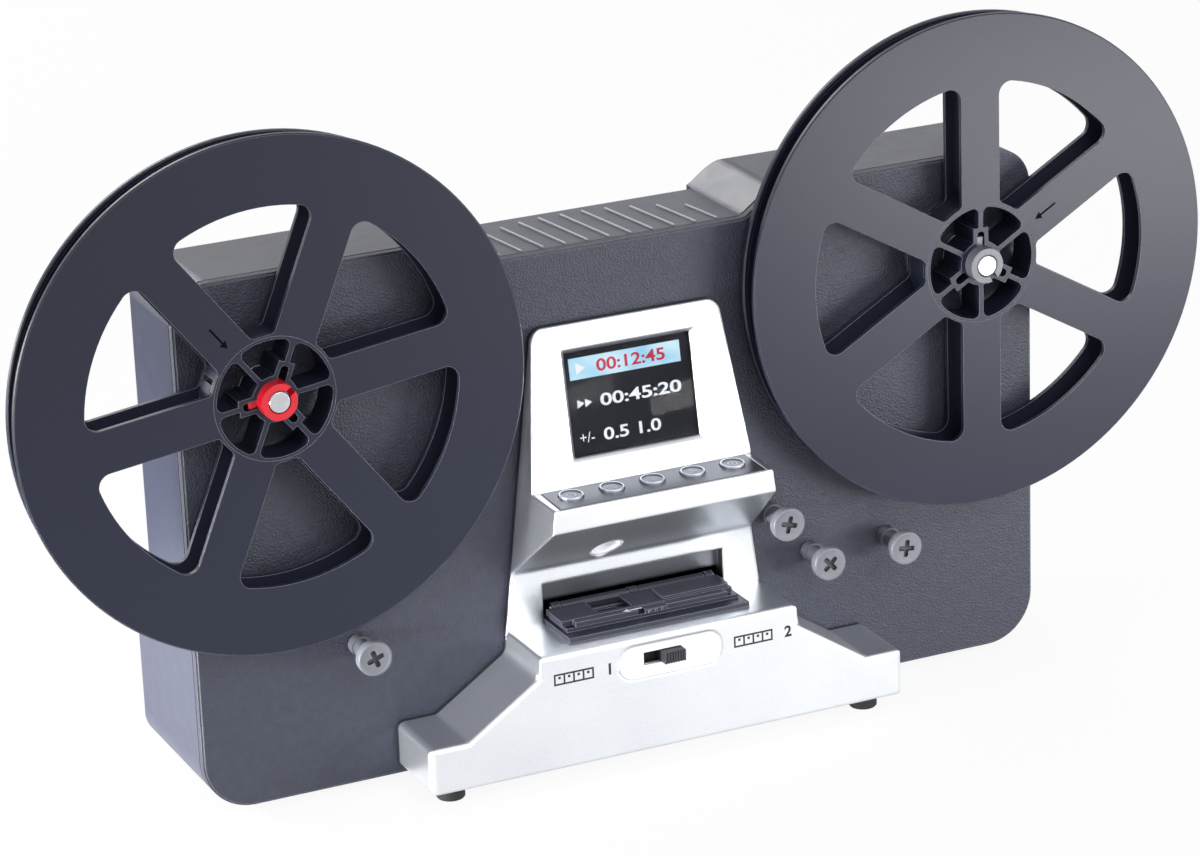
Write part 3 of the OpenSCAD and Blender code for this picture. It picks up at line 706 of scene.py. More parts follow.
@dataclass(frozen=True)
class Plastic(Finish):
    """Moulded plastic with a grain, faint mottling and a painted highlight along its edges."""

    grain: Grain = Grain.SPARK
    size: float = 0.5
    depth: float = 0.02
    mottle: float = 0.08
    edge: float = 0.3
    # Tone of the painted highlight on edges; below 1 it paints shade there.
    edge_light_tone: float = 1.5
    gloss: float = 0.5
    # Share of that painted edge light that is mixed in.
    edge_light_share: float = 0.55
    pale: float = 0.0
    vary: ClassVar[float] = 0.06

    def edge_light_colour(self) -> Colour:
        """Gives the colour of the edges' painted highlight (painted shade when its tone is below 1),
        which loses its tint by the share in pale.
        """
        light = self.shade(self.edge_light_tone)
        grey = sum(light) / 3
        return tuple(c + (grey - c) * self.pale for c in light)

    def relief(self, tree: ShaderTree) -> Socket:
        """Gives the height of the moulded grain.

        Args:
            tree: The material's tree.

        Returns:
            The value socket.
        """
        fine = tree.noise(self.size * 0.6, detail=3.0, rough=0.6)
        if self.grain is Grain.LEATHER:
            cells = tree.cells(self.size, "SMOOTH_F1", Smoothness=0.6, Randomness=1.0)
            high = tree.spread(cells, 0.0, 1.0, start=0.05, end=0.75)
            return tree.math("ADD", high, tree.math("MULTIPLY", fine, 0.5))
        if self.grain is Grain.SPARK:
            return fine
        return tree.noise(self.size * 8, rough=0.4)

    def draw(self, tree: ShaderTree) -> None:
        """Draws mottled colour, uneven roughness, grain and a painted highlight along edges."""
        normal, near = tree.edge(self.edge)
        relief = self.relief(tree)
        patches = tree.noise(self.size * 5, detail=4.0, rough=0.65)
        body = tree.blend(patches, self.shade(1 - self.mottle), self.shade(1 + self.mottle))
        # Painted highlight along the edges, where the rounded normal turns; painted shade for a tone
        # below 1.
        edge_lit = tree.over(body, tree.math("MULTIPLY", near, self.edge_light_share, True), self.edge_light_colour())
        tree.set(
            Base_Color=self.tint(tree, edge_lit),
            Roughness=self.uneven(tree, relief),
            Normal=tree.bump(relief, self.depth, normal),
            Specular_IOR_Level=self.gloss)


@dataclass(frozen=True)
class SeamedPlastic(Plastic):
    """Plastic that is dark in the joint with its neighbour, behind a plane across Y."""

    seam_y: float = 0.0
    seam_dark: float = 0.12

    def tint(self, tree: ShaderTree, colour: Socket) -> Socket:
        """Darkens what lies behind the seam's plane in a colour, and gives the new colour."""
        behind = tree.math("GREATER_THAN", tree.axis("Y"), self.seam_y * MM)
        return tree.over(colour, behind, self.shade(self.seam_dark))


@dataclass(frozen=True)
class RibbedPlastic(Plastic):
    """Plastic whose ribs, above a height and between two sides, carry a painted highlight."""

    rib_foot: float = 0.0
    rib_half: float = 0.0
    # Colour of the painted highlight on the rib tops.
    rib_highlight: Colour = (206, 208, 216)

    def tint(self, tree: ShaderTree, colour: Socket) -> Socket:
        """Paints a highlight on the ribs.

        Args:
            tree: The material's tree.
            colour: The colour so far.

        Returns:
            The colour socket.
        """
        high = tree.math("GREATER_THAN", tree.axis("Z"), self.rib_foot * MM)
        inside = tree.math("LESS_THAN", tree.math("ABSOLUTE", tree.axis("X")), self.rib_half * MM)
        return tree.over(colour, tree.math("MULTIPLY", high, inside), self.rib_highlight)


@dataclass(frozen=True)
class RimmedPlastic(Plastic):
    """Plastic of a plate about x = 0 with round ends along X and painted shade along its rim."""

    z: float = 0.0
    half: float = 0.0
    flat: float = 0.0
    rim: float = 0.0
    rim_tone: float = 0.8

    def tint(self, tree: ShaderTree, colour: Socket) -> Socket:
        """Paints shade on the rim, which is what lies far from the plate's inner rectangle.

        Args:
            tree: The material's tree.
            colour: The colour so far.

        Returns:
            The colour socket.
        """
        place = tree.coords(shift=(0, 0, -self.z * MM))
        reach = tree.add("ShaderNodeCombineXYZ")
        for axis, inner in (("X", self.half), ("Z", self.flat)):
            far = tree.math("SUBTRACT", tree.math("ABSOLUTE", tree.axis(axis, place)), inner * MM)
            tree.put(tree.math("MAXIMUM", far, 0.0), reach.inputs[axis])
        rim = tree.math("GREATER_THAN", tree.length(reach.outputs[0]), self.rim * MM)
        return tree.over(colour, rim, self.shade(self.rim_tone))


@dataclass(frozen=True)
class MetalPaint(Finish):
    """Silver paint with fine flakes, a painted highlight on its edges, and painted shade behind a plane
    across Y, in the pocket, and on undersides.
    """

    metallic: float = 0.93
    flake: float = 0.35
    flake_depth: float = 0.009
    patch: float = 40.0
    soft: float = 1.6
    edge_tone: float = 1.12
    edge_light_share: float = 0.5
    pocket_shade_y: float = 0.0
    pocket_shade_soft: float = 0.4
    pocket_shade: float = 0.45
    underside_shade: float = 0.76

    def draw(self, tree: ShaderTree) -> None:
        """Draws flakes, slow tone changes, soft edges with a painted highlight, and painted shade in the
        pocket and on undersides.
        """
        normal, near = tree.edge(self.soft)
        flakes = tree.noise(self.flake, rough=0.7)
        body = self.toned(tree, tree.mingle(flakes, tree.noise(self.patch), share=0.6))
        # Painted highlight along the edges, lighter by the edge tone.
        edge_lit = tree.over(body, tree.math("MULTIPLY", near, self.edge_light_share, True), self.shade(self.edge_tone))
        # Painted shade in the pocket: colour behind the plane across Y is darkened to a share.
        start = (self.pocket_shade_y - self.pocket_shade_soft) * MM
        pocket = tree.spread(tree.axis("Y"), 0.0, 1.0, start, self.pocket_shade_y * MM)
        pocket_shaded = tree.over(edge_lit, pocket, self.shade(self.pocket_shade))
        # Painted shade on undersides: faces that point down are darkened by a share.
        facing = tree.axis("Z", tree.add("ShaderNodeTexCoord").outputs["Normal"])
        underside_shade_mask = tree.spread(facing, 1.0, 0.0, start=-0.5, end=-0.2)
        inputs = {"Factor": underside_shade_mask, "A": pocket_shaded, "B": (self.underside_shade, self.underside_shade, self.underside_shade, 1.0)}
        below = tree.add("ShaderNodeMix", inputs, data_type="RGBA", blend_type="MULTIPLY")
        tree.set(
            Base_Color=below.outputs["Result"],
            Roughness=self.uneven(tree, flakes),
            Normal=tree.bump(flakes, self.flake_depth, normal),
            Metallic=self.metallic,
            Coat_Weight=0.2,
            Coat_Roughness=0.3)


@dataclass(frozen=True)
class BrushedMetal(Finish):
    """Metal with fine brush lines along X and edges made darker or lighter by a share."""

    metallic: float = 0.8
    edge_tone: float = 1.0
    edge: float = 0.4
    line: float = 0.25
    stretch: float = 0.02
    depth: float = 0.006
    vary: ClassVar[float] = 0.1
    tones: ClassVar[Pair] = (0.82, 1.18)

    def draw(self, tree: ShaderTree) -> None:
        """Draws long fine scratches in colour, roughness and relief."""
        normal, near = tree.edge(self.edge)
        place = tree.coords(scale=(self.stretch, 1, 1))
        lines = tree.noise(self.line, detail=3.0, rough=0.7, vector=place)
        # Edges are darkened or lightened by the edge tone; the key panel's are darkened into a dark
        # outline.
        body = tree.over(self.toned(tree, lines), near, self.shade(self.edge_tone))
        tree.set(
            Base_Color=self.tint(tree, body),
            Roughness=self.uneven(tree, lines),
            Normal=tree.bump(lines, self.depth, normal),
            Metallic=self.metallic)


@dataclass(frozen=True)
class RimmedKey(BrushedMetal):
    """A brushed key with a polished rim about a point (x, y) in mm."""

    x: float = 0.0
    y: float = 0.0
    rim: float = 3.85
    rim_tone: float = 1.9

    def tint(self, tree: ShaderTree, colour: Socket) -> Socket:
        """Brightens the rim.

        Args:
            tree: The material's tree.
            colour: The colour so far.

        Returns:
            The colour socket.
        """
        place = tree.coords(scale=(1, 1, 0), shift=(-self.x * MM, -self.y * MM, 0))
        rim = tree.math("GREATER_THAN", tree.length(place), self.rim * MM)
        return tree.over(colour, rim, self.shade(self.rim_tone))


@dataclass(frozen=True)
class TurnedMetal(Finish):
    """Metal turned on a lathe, with rings about an axis along Y at (x, z) in mm."""

    x: float = 0.0
    z: float = 0.0
    pitch: float = 0.35
    edge: float = 0.25
    depth: float = 0.008
    patch: float = 3.0

    def draw(self, tree: ShaderTree) -> None:
        """Draws the tool's rings and a faint stain."""
        normal, _ = tree.edge(self.edge)
        place = tree.coords(scale=(1, 0.0, 1), shift=(-self.x * MM, 0, -self.z * MM))
        angle = tree.math("MULTIPLY", tree.length(place), 2 * math.pi / (self.pitch * MM))
        rings = tree.spread(tree.math("SINE", angle), 0.0, 1.0, start=-1.0, end=1.0)
        stain = tree.noise(self.patch, detail=3.0, rough=0.6)
        tree.set(
            Base_Color=self.toned(tree, tree.mingle(rings, stain, share=0.5)),
            Roughness=self.uneven(tree, stain),
            Normal=tree.bump(rings, self.depth, normal),
            Metallic=1.0)


@dataclass(frozen=True)
class CircuitBoard(Finish):
    """Green board with lighter tracks."""

    cell: float = 3.125
    random: float = 0.35
    track_tone: float = 1.45
    depth: float = 0.03

    def draw(self, tree: ShaderTree) -> None:
        """Draws tracks as the borders of near-square cells."""
        borders = tree.cells(self.cell, "DISTANCE_TO_EDGE", Randomness=self.random)
        tracks = tree.spread(borders, 0.0, 1.0, start=0.05, end=0.12)
        tree.set(
            Base_Color=tree.blend(tracks, self.shade(self.track_tone), self.colour),
            Roughness=tree.spread(tracks, self.roughness + 0.1, self.roughness),
            Normal=tree.bump(tracks, self.depth))


@dataclass(frozen=True)
class Ink(Finish):
    """Printed ink with a faint speckle."""

    gloss: float = 0.5
    patch: float = 0.25
    tones: ClassVar[Pair] = (0.88, 1.12)

    def draw(self, tree: ShaderTree) -> None:
        """Draws the speckle in colour and roughness."""
        speckle = tree.noise(self.patch, detail=3.0, rough=0.6)
        tree.set(
            Base_Color=self.toned(tree, speckle),
            Roughness=self.uneven(tree, speckle),
            Specular_IOR_Level=self.gloss)


@dataclass(frozen=True)
class ScreenGlow(Finish):
    """A lit part of the screen, with a slow change between two colours."""

    other: Colour = (255, 255, 255)
    strength: float = 1.0
    patch: float = 9.0
    vary: ClassVar[float] = 0.05

    def draw(self, tree: ShaderTree) -> None:
        """Draws the lit colour with soft patches and nothing but its own light."""
        patches = tree.spread(tree.noise(self.patch, detail=1.0), 0.0, 1.0, start=0.3, end=0.7)
        tree.set(
            Base_Color=linear((0, 0, 0)),
            Roughness=self.uneven(tree, patches),
            Specular_IOR_Level=0.1,
            Emission_Color=tree.blend(patches, self.colour, self.other),
            Emission_Strength=self.strength)


@dataclass(frozen=True)
class ClearPane(Finish):
    """Clear hard window with faint smears."""

    bend: float = 1.13
    smear: float = 14.0

    def draw(self, tree: ShaderTree) -> None:
        """Draws a clear pane whose gloss is broken by smears."""
        smears = tree.noise(self.smear, detail=3.0, rough=0.55)
        tree.set(
            Base_Color=linear(self.colour),
            Roughness=tree.spread(smears, 0.02, self.roughness),
            Transmission_Weight=1.0,
            IOR=self.bend)


class Finishes:
    """The finishes of this part."""

    # Each plastic's edge tone and share paint a highlight along its edges; a tone below 1 paints shade.
    case = RibbedPlastic(
        "case_satin", (57, 60, 77), 0.34, Grain.SATIN, size=0.8, depth=0.01, mottle=0.05, edge=0.5,
        edge_light_tone=1.9, edge_light_share=0.8, pale=0.8, rib_foot=180.75, rib_half=47.0)
    cover = SeamedPlastic(
        "cover_leather_grain", (50, 53, 67), 0.48, Grain.LEATHER, size=0.75, depth=0.16, mottle=0.22,
        edge=0.6, edge_light_tone=2.5, edge_light_share=0.9, pale=0.8, seam_y=-11.35)
    reel = Plastic(
        "reel_plastic", (32, 35, 51), 0.36, size=0.35, depth=0.012, edge=0.35, edge_light_tone=4.2, gloss=0.3,
        edge_light_share=0.95, pale=0.8)
    gate = Plastic(
        "gate_black", (51, 53, 66), 0.36, size=0.3, depth=0.006, edge_light_tone=3.4, gloss=0.25, edge_light_share=0.9, pale=0.8)
    knob = Plastic("knob_dark", (46, 47, 52), 0.45, size=0.3, depth=0.01, edge=0.2, edge_light_tone=1.6)
    dark = Plastic("inner_dark", (36, 37, 42), 0.5, size=0.4, depth=0.01)
    # The rim tone paints a shadow line around the switch plate.
    white_plate = RimmedPlastic(
        "switch_plate_white", (238, 239, 244), 0.4, size=0.3, depth=0.004, mottle=0.02, edge=0.25,
        edge_light_tone=0.72, z=39.25, half=14.0, flat=0.55, rim=5.2)
    white_part = Plastic(
        "inner_white", (236, 238, 243), 0.35, size=0.3, depth=0.004, mottle=0.02, edge_light_tone=0.9)
    roller = Plastic("roller_grey", (86, 88, 97), 0.45, size=0.3, depth=0.006, mottle=0.06, edge_light_tone=1.25)
    head = Plastic(
        "guide_head_grey", (114, 116, 124), 0.38, size=0.4, depth=0.006, mottle=0.05, edge=0.25,
        edge_light_tone=1.3)
    # Painted shade in the screws' cross recesses.
    recess = Plastic("guide_recess_shade", (58, 60, 66), 0.55, size=0.3, depth=0.006, edge=0.2, edge_light_tone=1.3)
    red = Plastic("adapter_red", (204, 26, 42), 0.3, Grain.SATIN, depth=0.006, mottle=0.05, edge_light_tone=1.25)
    grey = Plastic("adapter_grey", (98, 100, 108), 0.34, Grain.SATIN, depth=0.006, mottle=0.05, edge_light_tone=1.6)
    foot = Plastic("foot_rubber", (26, 26, 28), 0.75, mottle=0.1, edge_light_tone=1.3)
    belt = Plastic("belt_rubber", (24, 24, 26), 0.8, size=0.4)
    wheel = Plastic("wheel_grey", (120, 122, 128), 0.4, size=0.4, depth=0.01)
    screen = Plastic(
        "screen_black", (18, 19, 26), 0.4, Grain.SATIN, size=1.5, depth=0.002, mottle=0.2, gloss=0.08)
    # The pocket's painted shade starts behind this plane across Y.
    silver = MetalPaint("console_silver", (234, 239, 252), 0.33, pocket_shade_y=-16.3)
    key_panel = BrushedMetal("key_panel_brushed", (112, 114, 121), 0.36, edge_tone=0.35)
    screw = BrushedMetal("screw_steel", (150, 152, 158), 0.35, metallic=1.0)
    steel = BrushedMetal("steel_plain", (190, 192, 198), 0.28, metallic=1.0)
    unit = BrushedMetal("drive_unit_metal", (140, 142, 148), 0.4, metallic=0.9)
    board = CircuitBoard("board_green", (34, 92, 58), 0.4)
    pane = ClearPane("screen_pane", (250, 252, 255), 0.06)
    print_dark = Ink("print_dark", (24, 25, 28), 0.5)
    print_white = Ink("print_white", (244, 245, 248), 0.5)
    print_key = Ink("print_key", (196, 198, 204), 0.45)
    # The reel's moulded arrow, drawn as dark print: its darkness is painted shade.
    mark = Ink("reel_mark_shade", (8, 8, 10), 0.8, gloss=0.05)
    bar = ScreenGlow("screen_bar", (150, 212, 238), 0.3, (214, 240, 250))
    glow_white = ScreenGlow("screen_white", (238, 240, 245), 0.3, (250, 251, 255))
    glow_red = ScreenGlow("screen_red", (190, 40, 66), 0.3, (206, 58, 84))


def dress(finish: Finish, *nodes: str) -> None:
    """Gives CAD nodes a finish through their material slots.

    Args:
        finish: The finish.
        *nodes: The nodes' names.
    """
    for name in nodes:
        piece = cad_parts[name]
        if not piece.material_slots:
            piece.data.materials.append(None)
        for slot in piece.material_slots:
            slot.material = paint(finish)
        LOG.info("node %s: %s", name, finish.name)


# Sub-assemblies


@dataclass
class CaseShell:
    """The rear case, the grained front cover, and what is screwed or pressed into them."""

    def build(self) -> None:
        """Dresses the case; it has no pieces of its own."""
        dress(Finishes.case, "rear_case")
        dress(Finishes.cover, "front_cover")
        dress(Finishes.screw, "case_screws", "console_screws")
        dress(Finishes.foot, "rubber_feet")
        dress(Finishes.steel, "usb_socket", "card_slot")
        dress(Finishes.dark, "spindle_bushes")


@dataclass
class Console:
    """The silver console with its format switch and the marks beside it."""

    mark_x: float = 34.2
    mark_z: float = 36.0
    strip: Pair = (15.0, 4.2)
    strip_x: float = -2.4
    line: float = 0.65
    apart: float = 0.01
    hole: float = 0.9
    hole_down: float = 1.5
    frames: int = 4
    figure_gap: float = 3.6
    figure_bold: float = 0.03

    def strip_mark(self, number: str) -> Piece:
        """Models a mark about the origin: a short film strip and a figure.

        Args:
            number: The figure beside the strip.

        Returns:
            The mark, as thick as print.
        """
        width, height = self.strip
        bar = height - 2 * (self.line + self.apart)
        first = (self.line - width) / 2
        pitch = (width - self.line) / self.frames
        parts = [Bench.plate(width, self.line, 0.0, s * (height - self.line) / 2) for s in (-1, 1)]
        parts += [Bench.plate(self.line, bar, first + i * pitch) for i in range(self.frames + 1)]
        for i in range(self.frames):
            middle = first + (i + 0.5) * pitch
            parts.append(Bench.plate(self.hole, self.hole, middle, height / 2 - self.hole_down))
        strip = Bench.join(parts)
        figure = Bench.digits(number, height, bold=self.figure_bold)
        figure.location.x = (width / 2 + self.figure_gap) * MM
        strip.location.x = self.strip_x * MM
        Bench.join([strip, figure])
        return Bench.thicken(Bench.settle(), PRINT_THICK)

    def build(self) -> None:
        """Dresses the console and prints the two format marks."""
        dress(Finishes.silver, "console_cover")
        dress(Finishes.white_plate, "switch_plate")
        dress(Finishes.dark, "switch_body")
        dress(Finishes.knob, "switch_knob")
        for number, side in (("1", -1), ("2", 1)):
            mark = self.strip_mark(number)
            place = BASE_FRONT.at(side * self.mark_x, self.mark_z)
            name = f"format_mark_{number}"
            Bench.set_down(mark, name, place, "frame", Finishes.print_dark, "dark_part")


@dataclass
class Screen:
    """The screen: a clear pane over a black panel with a lit menu."""

    middle_v: float = 27.5
    pane: Pair = (49.8, 38.6)
    pane_top: float = -2.2
    pane_thick: float = 0.7
    pane_round: float = 0.15
    lit: float = -3.16
    front: float = 0.04
    bar: Pair = (41.8, 7.5)
    rows: Point = (39.4, 27.4, 15.5)
    figure: float = 4.3
    bold: float = 0.02
    arrow_pitch: float = 2.9
    arrow_sizes: Pair = (2.4, 1.72)

    def lay(self, piece: Piece, name: str, finish: Finish, x: float, v: float,
            lift: float = 0.0) -> Piece:
        """Thickens a flat shape and lays it on the screen's panel.

        Args:
            piece: The flat shape about the origin.
            name: Its name.
            finish: Its finish.
            x: Its middle along the panel, mm.
            v: Its middle up the panel, mm.
            lift: Height above the lowest lit layer, mm.

        Returns:
            The piece.
        """
        Bench.thicken(piece, LIT_THICK)
        return Bench.set_down(piece, name, PANEL.at(x, v, self.lit + lift), "frame", finish, "screen")

    def arrows(self, count: int) -> Piece:
        """Models one or more flat triangles that point to the right.

        Args:
            count: Number of triangles.

        Returns:
            The joined flat triangles, about the origin.
        """
        shift = (count - 1) * self.arrow_pitch / 2
        single, several = self.arrow_sizes
        size = several if count > 1 else single
        places = [i * self.arrow_pitch - shift for i in range(count)]
        return Bench.join([Bench.disc(size, 3, turn=-90.0, x=x) for x in places])

    def build(self) -> None:
        """Builds the pane and the lit menu of signs and figures."""
        dress(Finishes.screen, "lcd_module")
        pane = Bench.block((*self.pane, self.pane_thick), self.pane_round)
        place = PANEL.at(0.0, self.middle_v, self.pane_top - self.pane_thick / 2)
        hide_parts("screen_window")
        Bench.set_down(pane, "screen_pane", place, "frame", Finishes.pane, "clear")
        top, middle, low = self.rows
        white = Finishes.glow_white
        self.lay(Bench.plate(*self.bar), "screen_bar", Finishes.bar, x=-0.7, v=top)
        self.lay(self.arrows(1), "screen_play", white, x=-17.9, v=top, lift=self.front)
        time = Bench.digits("00:12:45", self.figure, width=25.8, bold=self.bold)
        self.lay(time, "screen_time", Finishes.glow_red, x=1.5, v=top, lift=self.front)
        self.lay(self.arrows(2), "screen_wind", white, x=-17.6, v=middle - 0.1)
        length = Bench.digits("00:45:20", self.figure, width=30.6, bold=self.bold)
        self.lay(length, "screen_length", white, x=4.0, v=middle)
        self.lay(Bench.digits("+/-", height=3.6, width=5.4), "screen_sign", white, x=-17.6, v=low)
        step = Bench.digits("0.5 1.0", self.figure, width=21.6, bold=self.bold)
        self.lay(step, "screen_step", white, x=-0.6, v=low)


@dataclass
class ButtonRow:
    """The brushed key panel and five push buttons with a sign on each."""

    pitch: float = 15.25
    v: float = 10.2
    top: float = 0.8
    key_colour: Colour = (118, 120, 127)
    circle: Pair = (1.75, 1.35)
    stroke: float = 0.42
    arrow: float = 1.7

    def sign(self, key: str) -> Piece:
        """Models the flat sign of one button.

        Args:
            key: The button's name.

        Returns:
            The flat sign about the origin.
        """
        if key == "power":
            stroke = Bench.plate(width=self.stroke, height=1.5, y=1.1)
            return Bench.join([Bench.ring(*self.circle, gap=28.0), stroke])
        if key == "menu":
            lines = [Bench.plate(width=3.4, height=self.stroke, y=y) for y in (-1.0, 0.0, 1.0)]
            return Bench.join(lines)
        if key == "left":
            return Bench.disc(self.arrow, 3, turn=90.0)
        if key == "right":
            return Bench.disc(self.arrow, 3, turn=-90.0)
        return Bench.join([Bench.ring(*self.circle), Bench.disc(radius=0.6, sides=24)])

    def build(self) -> None:
        """Dresses the keys and prints their signs, which move with them."""
        dress(Finishes.key_panel, "button_panel")
        dress(Finishes.board, "button_board")
        for i, key in enumerate(("power", "menu", "left", "right", "ok")):
            place = LEDGE.at((i - 2) * self.pitch, self.v, self.top)
            x, y, _ = place.translation / MM
            dress(RimmedKey(f"key_{key}", self.key_colour, 0.32, x=x, y=y), f"button_{key}")
            sign = Bench.thicken(self.sign(key), PRINT_THICK)
            Bench.set_down(sign, f"sign_{key}", place, f"button_{key}", Finishes.print_key, "key")


@dataclass
class FilmGate:
    """The black film gate with its hinged cover and latch."""

    arrow_x: float = -7.6
    arrow_y: float = -17.0

    def build(self) -> None:
        """Dresses the gate and prints the arrow on its cover."""
        dress(Finishes.gate, "gate_base", "gate_cover", "gate_latch")
        dress(Finishes.steel, "gate_hinge_pin", "film_claw")
        dress(Finishes.white_part, "lens_shade", "light_box")
        dress(Finishes.dark, "camera_lens")
        arrow = Bench.arrow(shaft=4.6, middle=1.2, head=1.5, tip=-2.2)
        place = GATE_TOP.at(self.arrow_x, self.arrow_y)
        Bench.set_down(arrow, "gate_arrow", place, "gate_cover", Finishes.print_white, "gate")


@dataclass
class Reel:
    """One film reel on its spindle."""

    name: str
    x: float
    z: float
    mark_angle: float
    adapter: Finish
    front: float = -29.85
    steel: Colour = (206, 208, 214)

    def build(self) -> None:
        """Dresses the reel and lays the moulded threading arrow on one spoke as dark print, its darkness
        painted shade.
        """
        dress(Finishes.reel, f"{self.name}_flange_front", f"{self.name}_flange_back", f"{self.name}_hub")
        dress(self.adapter, f"{self.name}_adapter")
        steel = TurnedMetal(f"{self.name}_spindle_steel", self.steel, 0.24, x=self.x, z=self.z)
        dress(steel, f"{self.name}_spindle")
        arrow = Bench.arrow(shaft=7.0, middle=31.0, head=1.7, tip=26.8)
        face = Plane((self.x, self.front, self.z), 90.0)
        turn = Matrix.Rotation(math.radians(self.mark_angle), 4, "Z")
        place = face.at(0.0, 0.0) @ turn
        Bench.set_down(arrow, f"{self.name}_arrow", place, f"{self.name}_reel", Finishes.mark, "reel")


@dataclass
class GuideRollers:
    """Four guide rollers, each held by a wide-headed screw with a cross recess."""

    places: tuple[Point, ...] = (
        (54.1, 69.0, -15.0), (69.9, 51.2, 43.0), (100.4, 51.2, -8.0), (-102.8, 51.0, 20.0))
    radius: float = 6.15
    front: float = 16.4
    back: float = 13.2
    insets: tuple[Pair, ...] = ((0.25, 0.0), (0.75, 0.0), (0.18, -0.22), (0.12, 0.0))
    dome: float = 0.7
    arm: Point = (6.4, 1.8, 3.0)
    arm_round: float = 0.7
    arm_sink: float = 0.1
    recess: Point = (3.3, -2.0, -0.3)
    rim_share: float = 0.97
    rim_deep: float = 0.5
    pin_radius: float = 1.5
    pin_length: float = 25.2

    def head(self) -> Piece:
        """Models one screw: a domed head with a ring step and a cross recess, and its pin.

        Returns:
            The screw along Z, its head's front at z = 0.
        """
        deep = self.front - self.back
        piece = Bench.rod(self.radius, deep, sides=64, top=0.0)
        Bench.pick(piece, lambda c, n: n.z > 0.9)
        for width, lift in self.insets:
            bpy.ops.mesh.inset(thickness=width * MM, depth=lift * MM)
        Bench.mode("OBJECT")
        for vertex in piece.data.vertices:
            reach = vertex.co.xy.length / (self.radius * MM)
            if vertex.co.z > -self.rim_deep * MM and reach > self.rim_share:
                vertex.co.z -= self.dome * MM
        Bench.soften(piece, width=0.12, angle=25.0)
        sink = Matrix.Translation((0, 0, -self.arm_sink * MM))
        for turn in (0.0, 90.0):
            arm = Bench.block(self.arm, self.arm_round, steps=3)
            arm.matrix_world = Matrix.Rotation(math.radians(turn), 4, "Z") @ sink
            Bench.take(arm)
            Bench.cut(piece, Bench.settle())
        Bench.clean(piece)
        pin = Bench.rod(self.pin_radius, self.pin_length, sides=32, top=-deep)
        Bench.soften(pin, width=0.2)
        return Bench.join([piece, pin])

    def in_recess(self, middle: Vector) -> bool:
        """Says whether a face's middle, in mm and in the screw's frame, lies inside the cross recess."""
        reach, low, high = self.recess
        return middle.xy.length < reach and low < middle.z < high

    def build(self) -> None:
        """Dresses the rollers and sets one screw in each."""
        dress(Finishes.roller, *(f"guide_roller_{i}" for i in range(1, 5)))
        pattern = self.head()
        recess = [face.index for face in pattern.data.polygons if self.in_recess(face.center / MM)]
        for i, (x, z, turn) in enumerate(self.places, 1):
            screw = pattern.copy()
            screw.data = pattern.data.copy()
            bpy.context.scene.collection.objects.link(screw)
            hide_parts("guide_screws")
            place = CASE_FRONT.at(x, z, self.front, turn)
            Bench.set_down(screw, f"guide_screw_{i}", place, "frame", Finishes.head, "guide_head")
            # The cross recess faces take the darker material: painted shade in the recess.
            screw.data.materials.append(paint(Finishes.recess))
            for face in recess:
                screw.data.polygons[face].material_index = 1
        bpy.data.objects.remove(pattern)


@dataclass
class Works:
    """The boards, motor, belt and film drive inside the case."""

    def build(self) -> None:
        """Dresses the inner parts."""
        dress(Finishes.board, "main_board", "camera_board")
        dress(Finishes.unit, "takeup_motor", "claw_drive")
        dress(Finishes.belt, "drive_belt")
        dress(Finishes.wheel, "takeup_pulley", "motor_pulley")


# Studio


@dataclass(frozen=True)
class Softbox:
    """One soft lamp, its place and size in m, its power in W and its spread in degrees."""

    name: str
    place: Point
    target: Point
    size: Pair
    power: float
    spread: float = 180.0

    def build(self) -> None:
        """Adds the lamp, facing its target."""
        data = bpy.data.lights.new(self.name, "AREA")
        data.shape = "RECTANGLE"
        data.size, data.size_y = self.size
        data.energy = self.power
        data.spread = math.radians(self.spread)
        lamp = bpy.data.objects.new(self.name, data)
        lamp.visible_camera = False
        bpy.context.scene.collection.objects.link(lamp)
        lamp.location = self.place
        aim = Vector(self.target) - Vector(self.place)
        lamp.rotation_euler = aim.to_track_quat("-Z", "Y").to_euler()


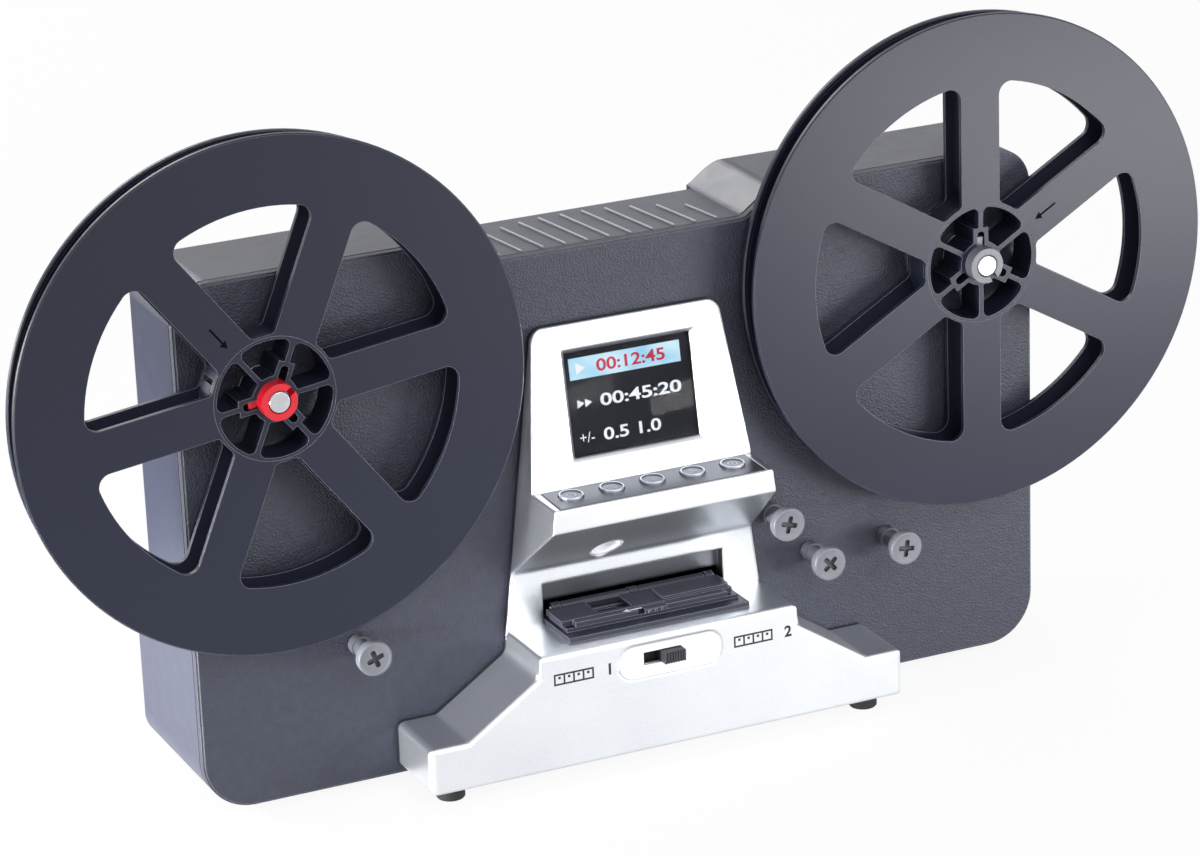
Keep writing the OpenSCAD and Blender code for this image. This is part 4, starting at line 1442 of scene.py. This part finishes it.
@dataclass
class Studio:
    """The pale floor, soft light and camera."""

    eye: Point = (-0.58851, -1.30109, 0.61322)
    heading: float = 24.2295
    dip: float = 19.468
    roll: float = -2.202
    lens: float = 130.84
    sensor: float = 36.0
    far: float = 60.0
    ambient: float = 0.49
    floor_size: float = 14.0
    floor_tone: Point = (0.92, 0.92, 0.93)
    floor_glow: float = 0.9
    flag_place: Point = (-0.6, 0.72, 0.002)
    flag_tone: Point = (0.02, 0.02, 0.02)
    matt: float = 0.9
    rays: tuple[str, ...] = ("Is Glossy Ray", "Is Transmission Ray")
    lamps: tuple[Softbox, ...] = (
        Softbox("front_softbox", (0.5, -2.0, 1.5), (0.0, 0.0, 0.12), (1.8, 1.0), 24.0),
        Softbox("right_softbox", (0.42, -0.45, 0.07), (0.132, 0.0, 0.155), (0.3, 0.1), 1.7),
        Softbox("left_softbox", (-0.75, -0.09, 0.06), (-0.06, -0.03, 0.05), (0.3, 0.1), 0.5, 28.0),
        Softbox("side_softbox", (-0.45, 0.2, 0.16), (-0.2, 0.06, 0.0), (0.2, 0.1), 1.6),
        Softbox("back_softbox", (-0.3, 1.6, 1.0), (0.0, 0.0, 0.18), (1.0, 0.5), 9.0),
    )

    def shown(self, tree: ShaderTree) -> Socket:
        """Gives a value that is 1 for what the camera, glosses and clear parts see.

        Args:
            tree: The tree to add to.

        Returns:
            The value socket.
        """
        path = tree.add("ShaderNodeLightPath").outputs
        total = path["Is Camera Ray"]
        for name in self.rays:
            total = tree.math("MAXIMUM", total, path[name])
        return total

    def surroundings(self) -> None:
        """Makes a white surrounding that lights at a plain level."""
        tree = ShaderTree(bpy.data.worlds.new("studio_world"), "Background")
        inputs = {0: self.shown(tree), 1: 1.0 - self.ambient, 2: self.ambient}
        level = tree.add("ShaderNodeMath", inputs, operation="MULTIPLY_ADD")
        tree.set(Color=(1.0, 1.0, 1.0, 1.0), Strength=level.outputs[0])
        bpy.context.scene.world = tree.owner

    def sheet(self, name: str, size: float, place: Point, tree: ShaderTree, tone: Point) -> Piece:
        """Lays a flat matt sheet.

        Args:
            name: Its name.
            size: Its side, m.
            place: Its middle, m.
            tree: Its material's tree.
            tone: Its red, green and blue in linear light, 0 to 1.

        Returns:
            The sheet.
        """
        Bench.clear()
        bpy.ops.mesh.primitive_plane_add(size=size, location=place)
        piece = bpy.context.object
        piece.name = name
        tree.set(Base_Color=(*tone, 1.0), Roughness=self.matt)
        piece.data.materials.append(tree.owner)
        return piece

    def floor(self) -> None:
        """Lays the pale floor, which keeps a soft shadow."""
        tree = ShaderTree(bpy.data.materials.new("floor_white"))
        piece = self.sheet("studio_floor", self.floor_size, (0.0, 0.0, 0.0), tree, self.floor_tone)
        glow = tree.add("ShaderNodeEmission", {"Strength": 1.0})
        share = tree.math("MULTIPLY", self.shown(tree), self.floor_glow)
        inputs = {"Fac": share, 1: tree.shader.outputs[0], 2: glow.outputs[0]}
        mix = tree.add("ShaderNodeMixShader", inputs)
        tree.put(mix.outputs[0], tree.nodes["Material Output"].inputs["Surface"])

    def flag(self) -> None:
        """Lays a dark card behind the part on its left, which only a gloss sees."""
        tree = ShaderTree(bpy.data.materials.new("flag_black"))
        card = self.sheet("studio_flag", 1.0, self.flag_place, tree, self.flag_tone)
        for kind in ("camera", "diffuse", "transmission", "shadow"):
            setattr(card, f"visible_{kind}", False)

    def camera(self) -> None:
        """Sets the camera at the photograph's viewing angle."""
        turn, dip, roll = (math.radians(a) for a in (self.heading, self.dip, self.roll))
        right = Vector((math.cos(turn), -math.sin(turn), 0.0))
        ahead = Vector((math.sin(turn) * math.cos(dip), math.cos(turn) * math.cos(dip), -math.sin(dip)))
        up = right.cross(ahead)
        across = math.cos(roll) * right + math.sin(roll) * up
        upward = -math.sin(roll) * right + math.cos(roll) * up
        data = bpy.data.cameras.new("camera")
        data.lens = self.lens
        data.sensor_width = self.sensor
        data.clip_end = self.far
        camera = bpy.data.objects.new("camera", data)
        bpy.context.scene.collection.objects.link(camera)
        turned = Matrix((across, upward, -ahead)).transposed().to_4x4()
        camera.matrix_world = Matrix.Translation(self.eye) @ turned
        bpy.context.scene.camera = camera

    def build(self) -> None:
        """Builds the studio."""
        bpy.context.scene.view_settings.view_transform = "Standard"
        self.camera()
        self.surroundings()
        self.floor()
        self.flag()
        for lamp in self.lamps:
            lamp.build()


def main() -> None:
    """Builds the studio and dresses each sub-assembly in order."""
    logging.basicConfig(level=logging.INFO, format="%(name)s: %(message)s")
    Studio().build()
    CaseShell().build()
    Console().build()
    Screen().build()
    ButtonRow().build()
    FilmGate().build()
    Reel("takeup", x=-132.1, z=151.6, mark_angle=127.5, adapter=Finishes.red).build()
    Reel("supply", x=132.1, z=154.6, mark_angle=30.0, adapter=Finishes.grey).build()
    GuideRollers().build()
    Works().build()


if __name__ == "__main__":
    main()
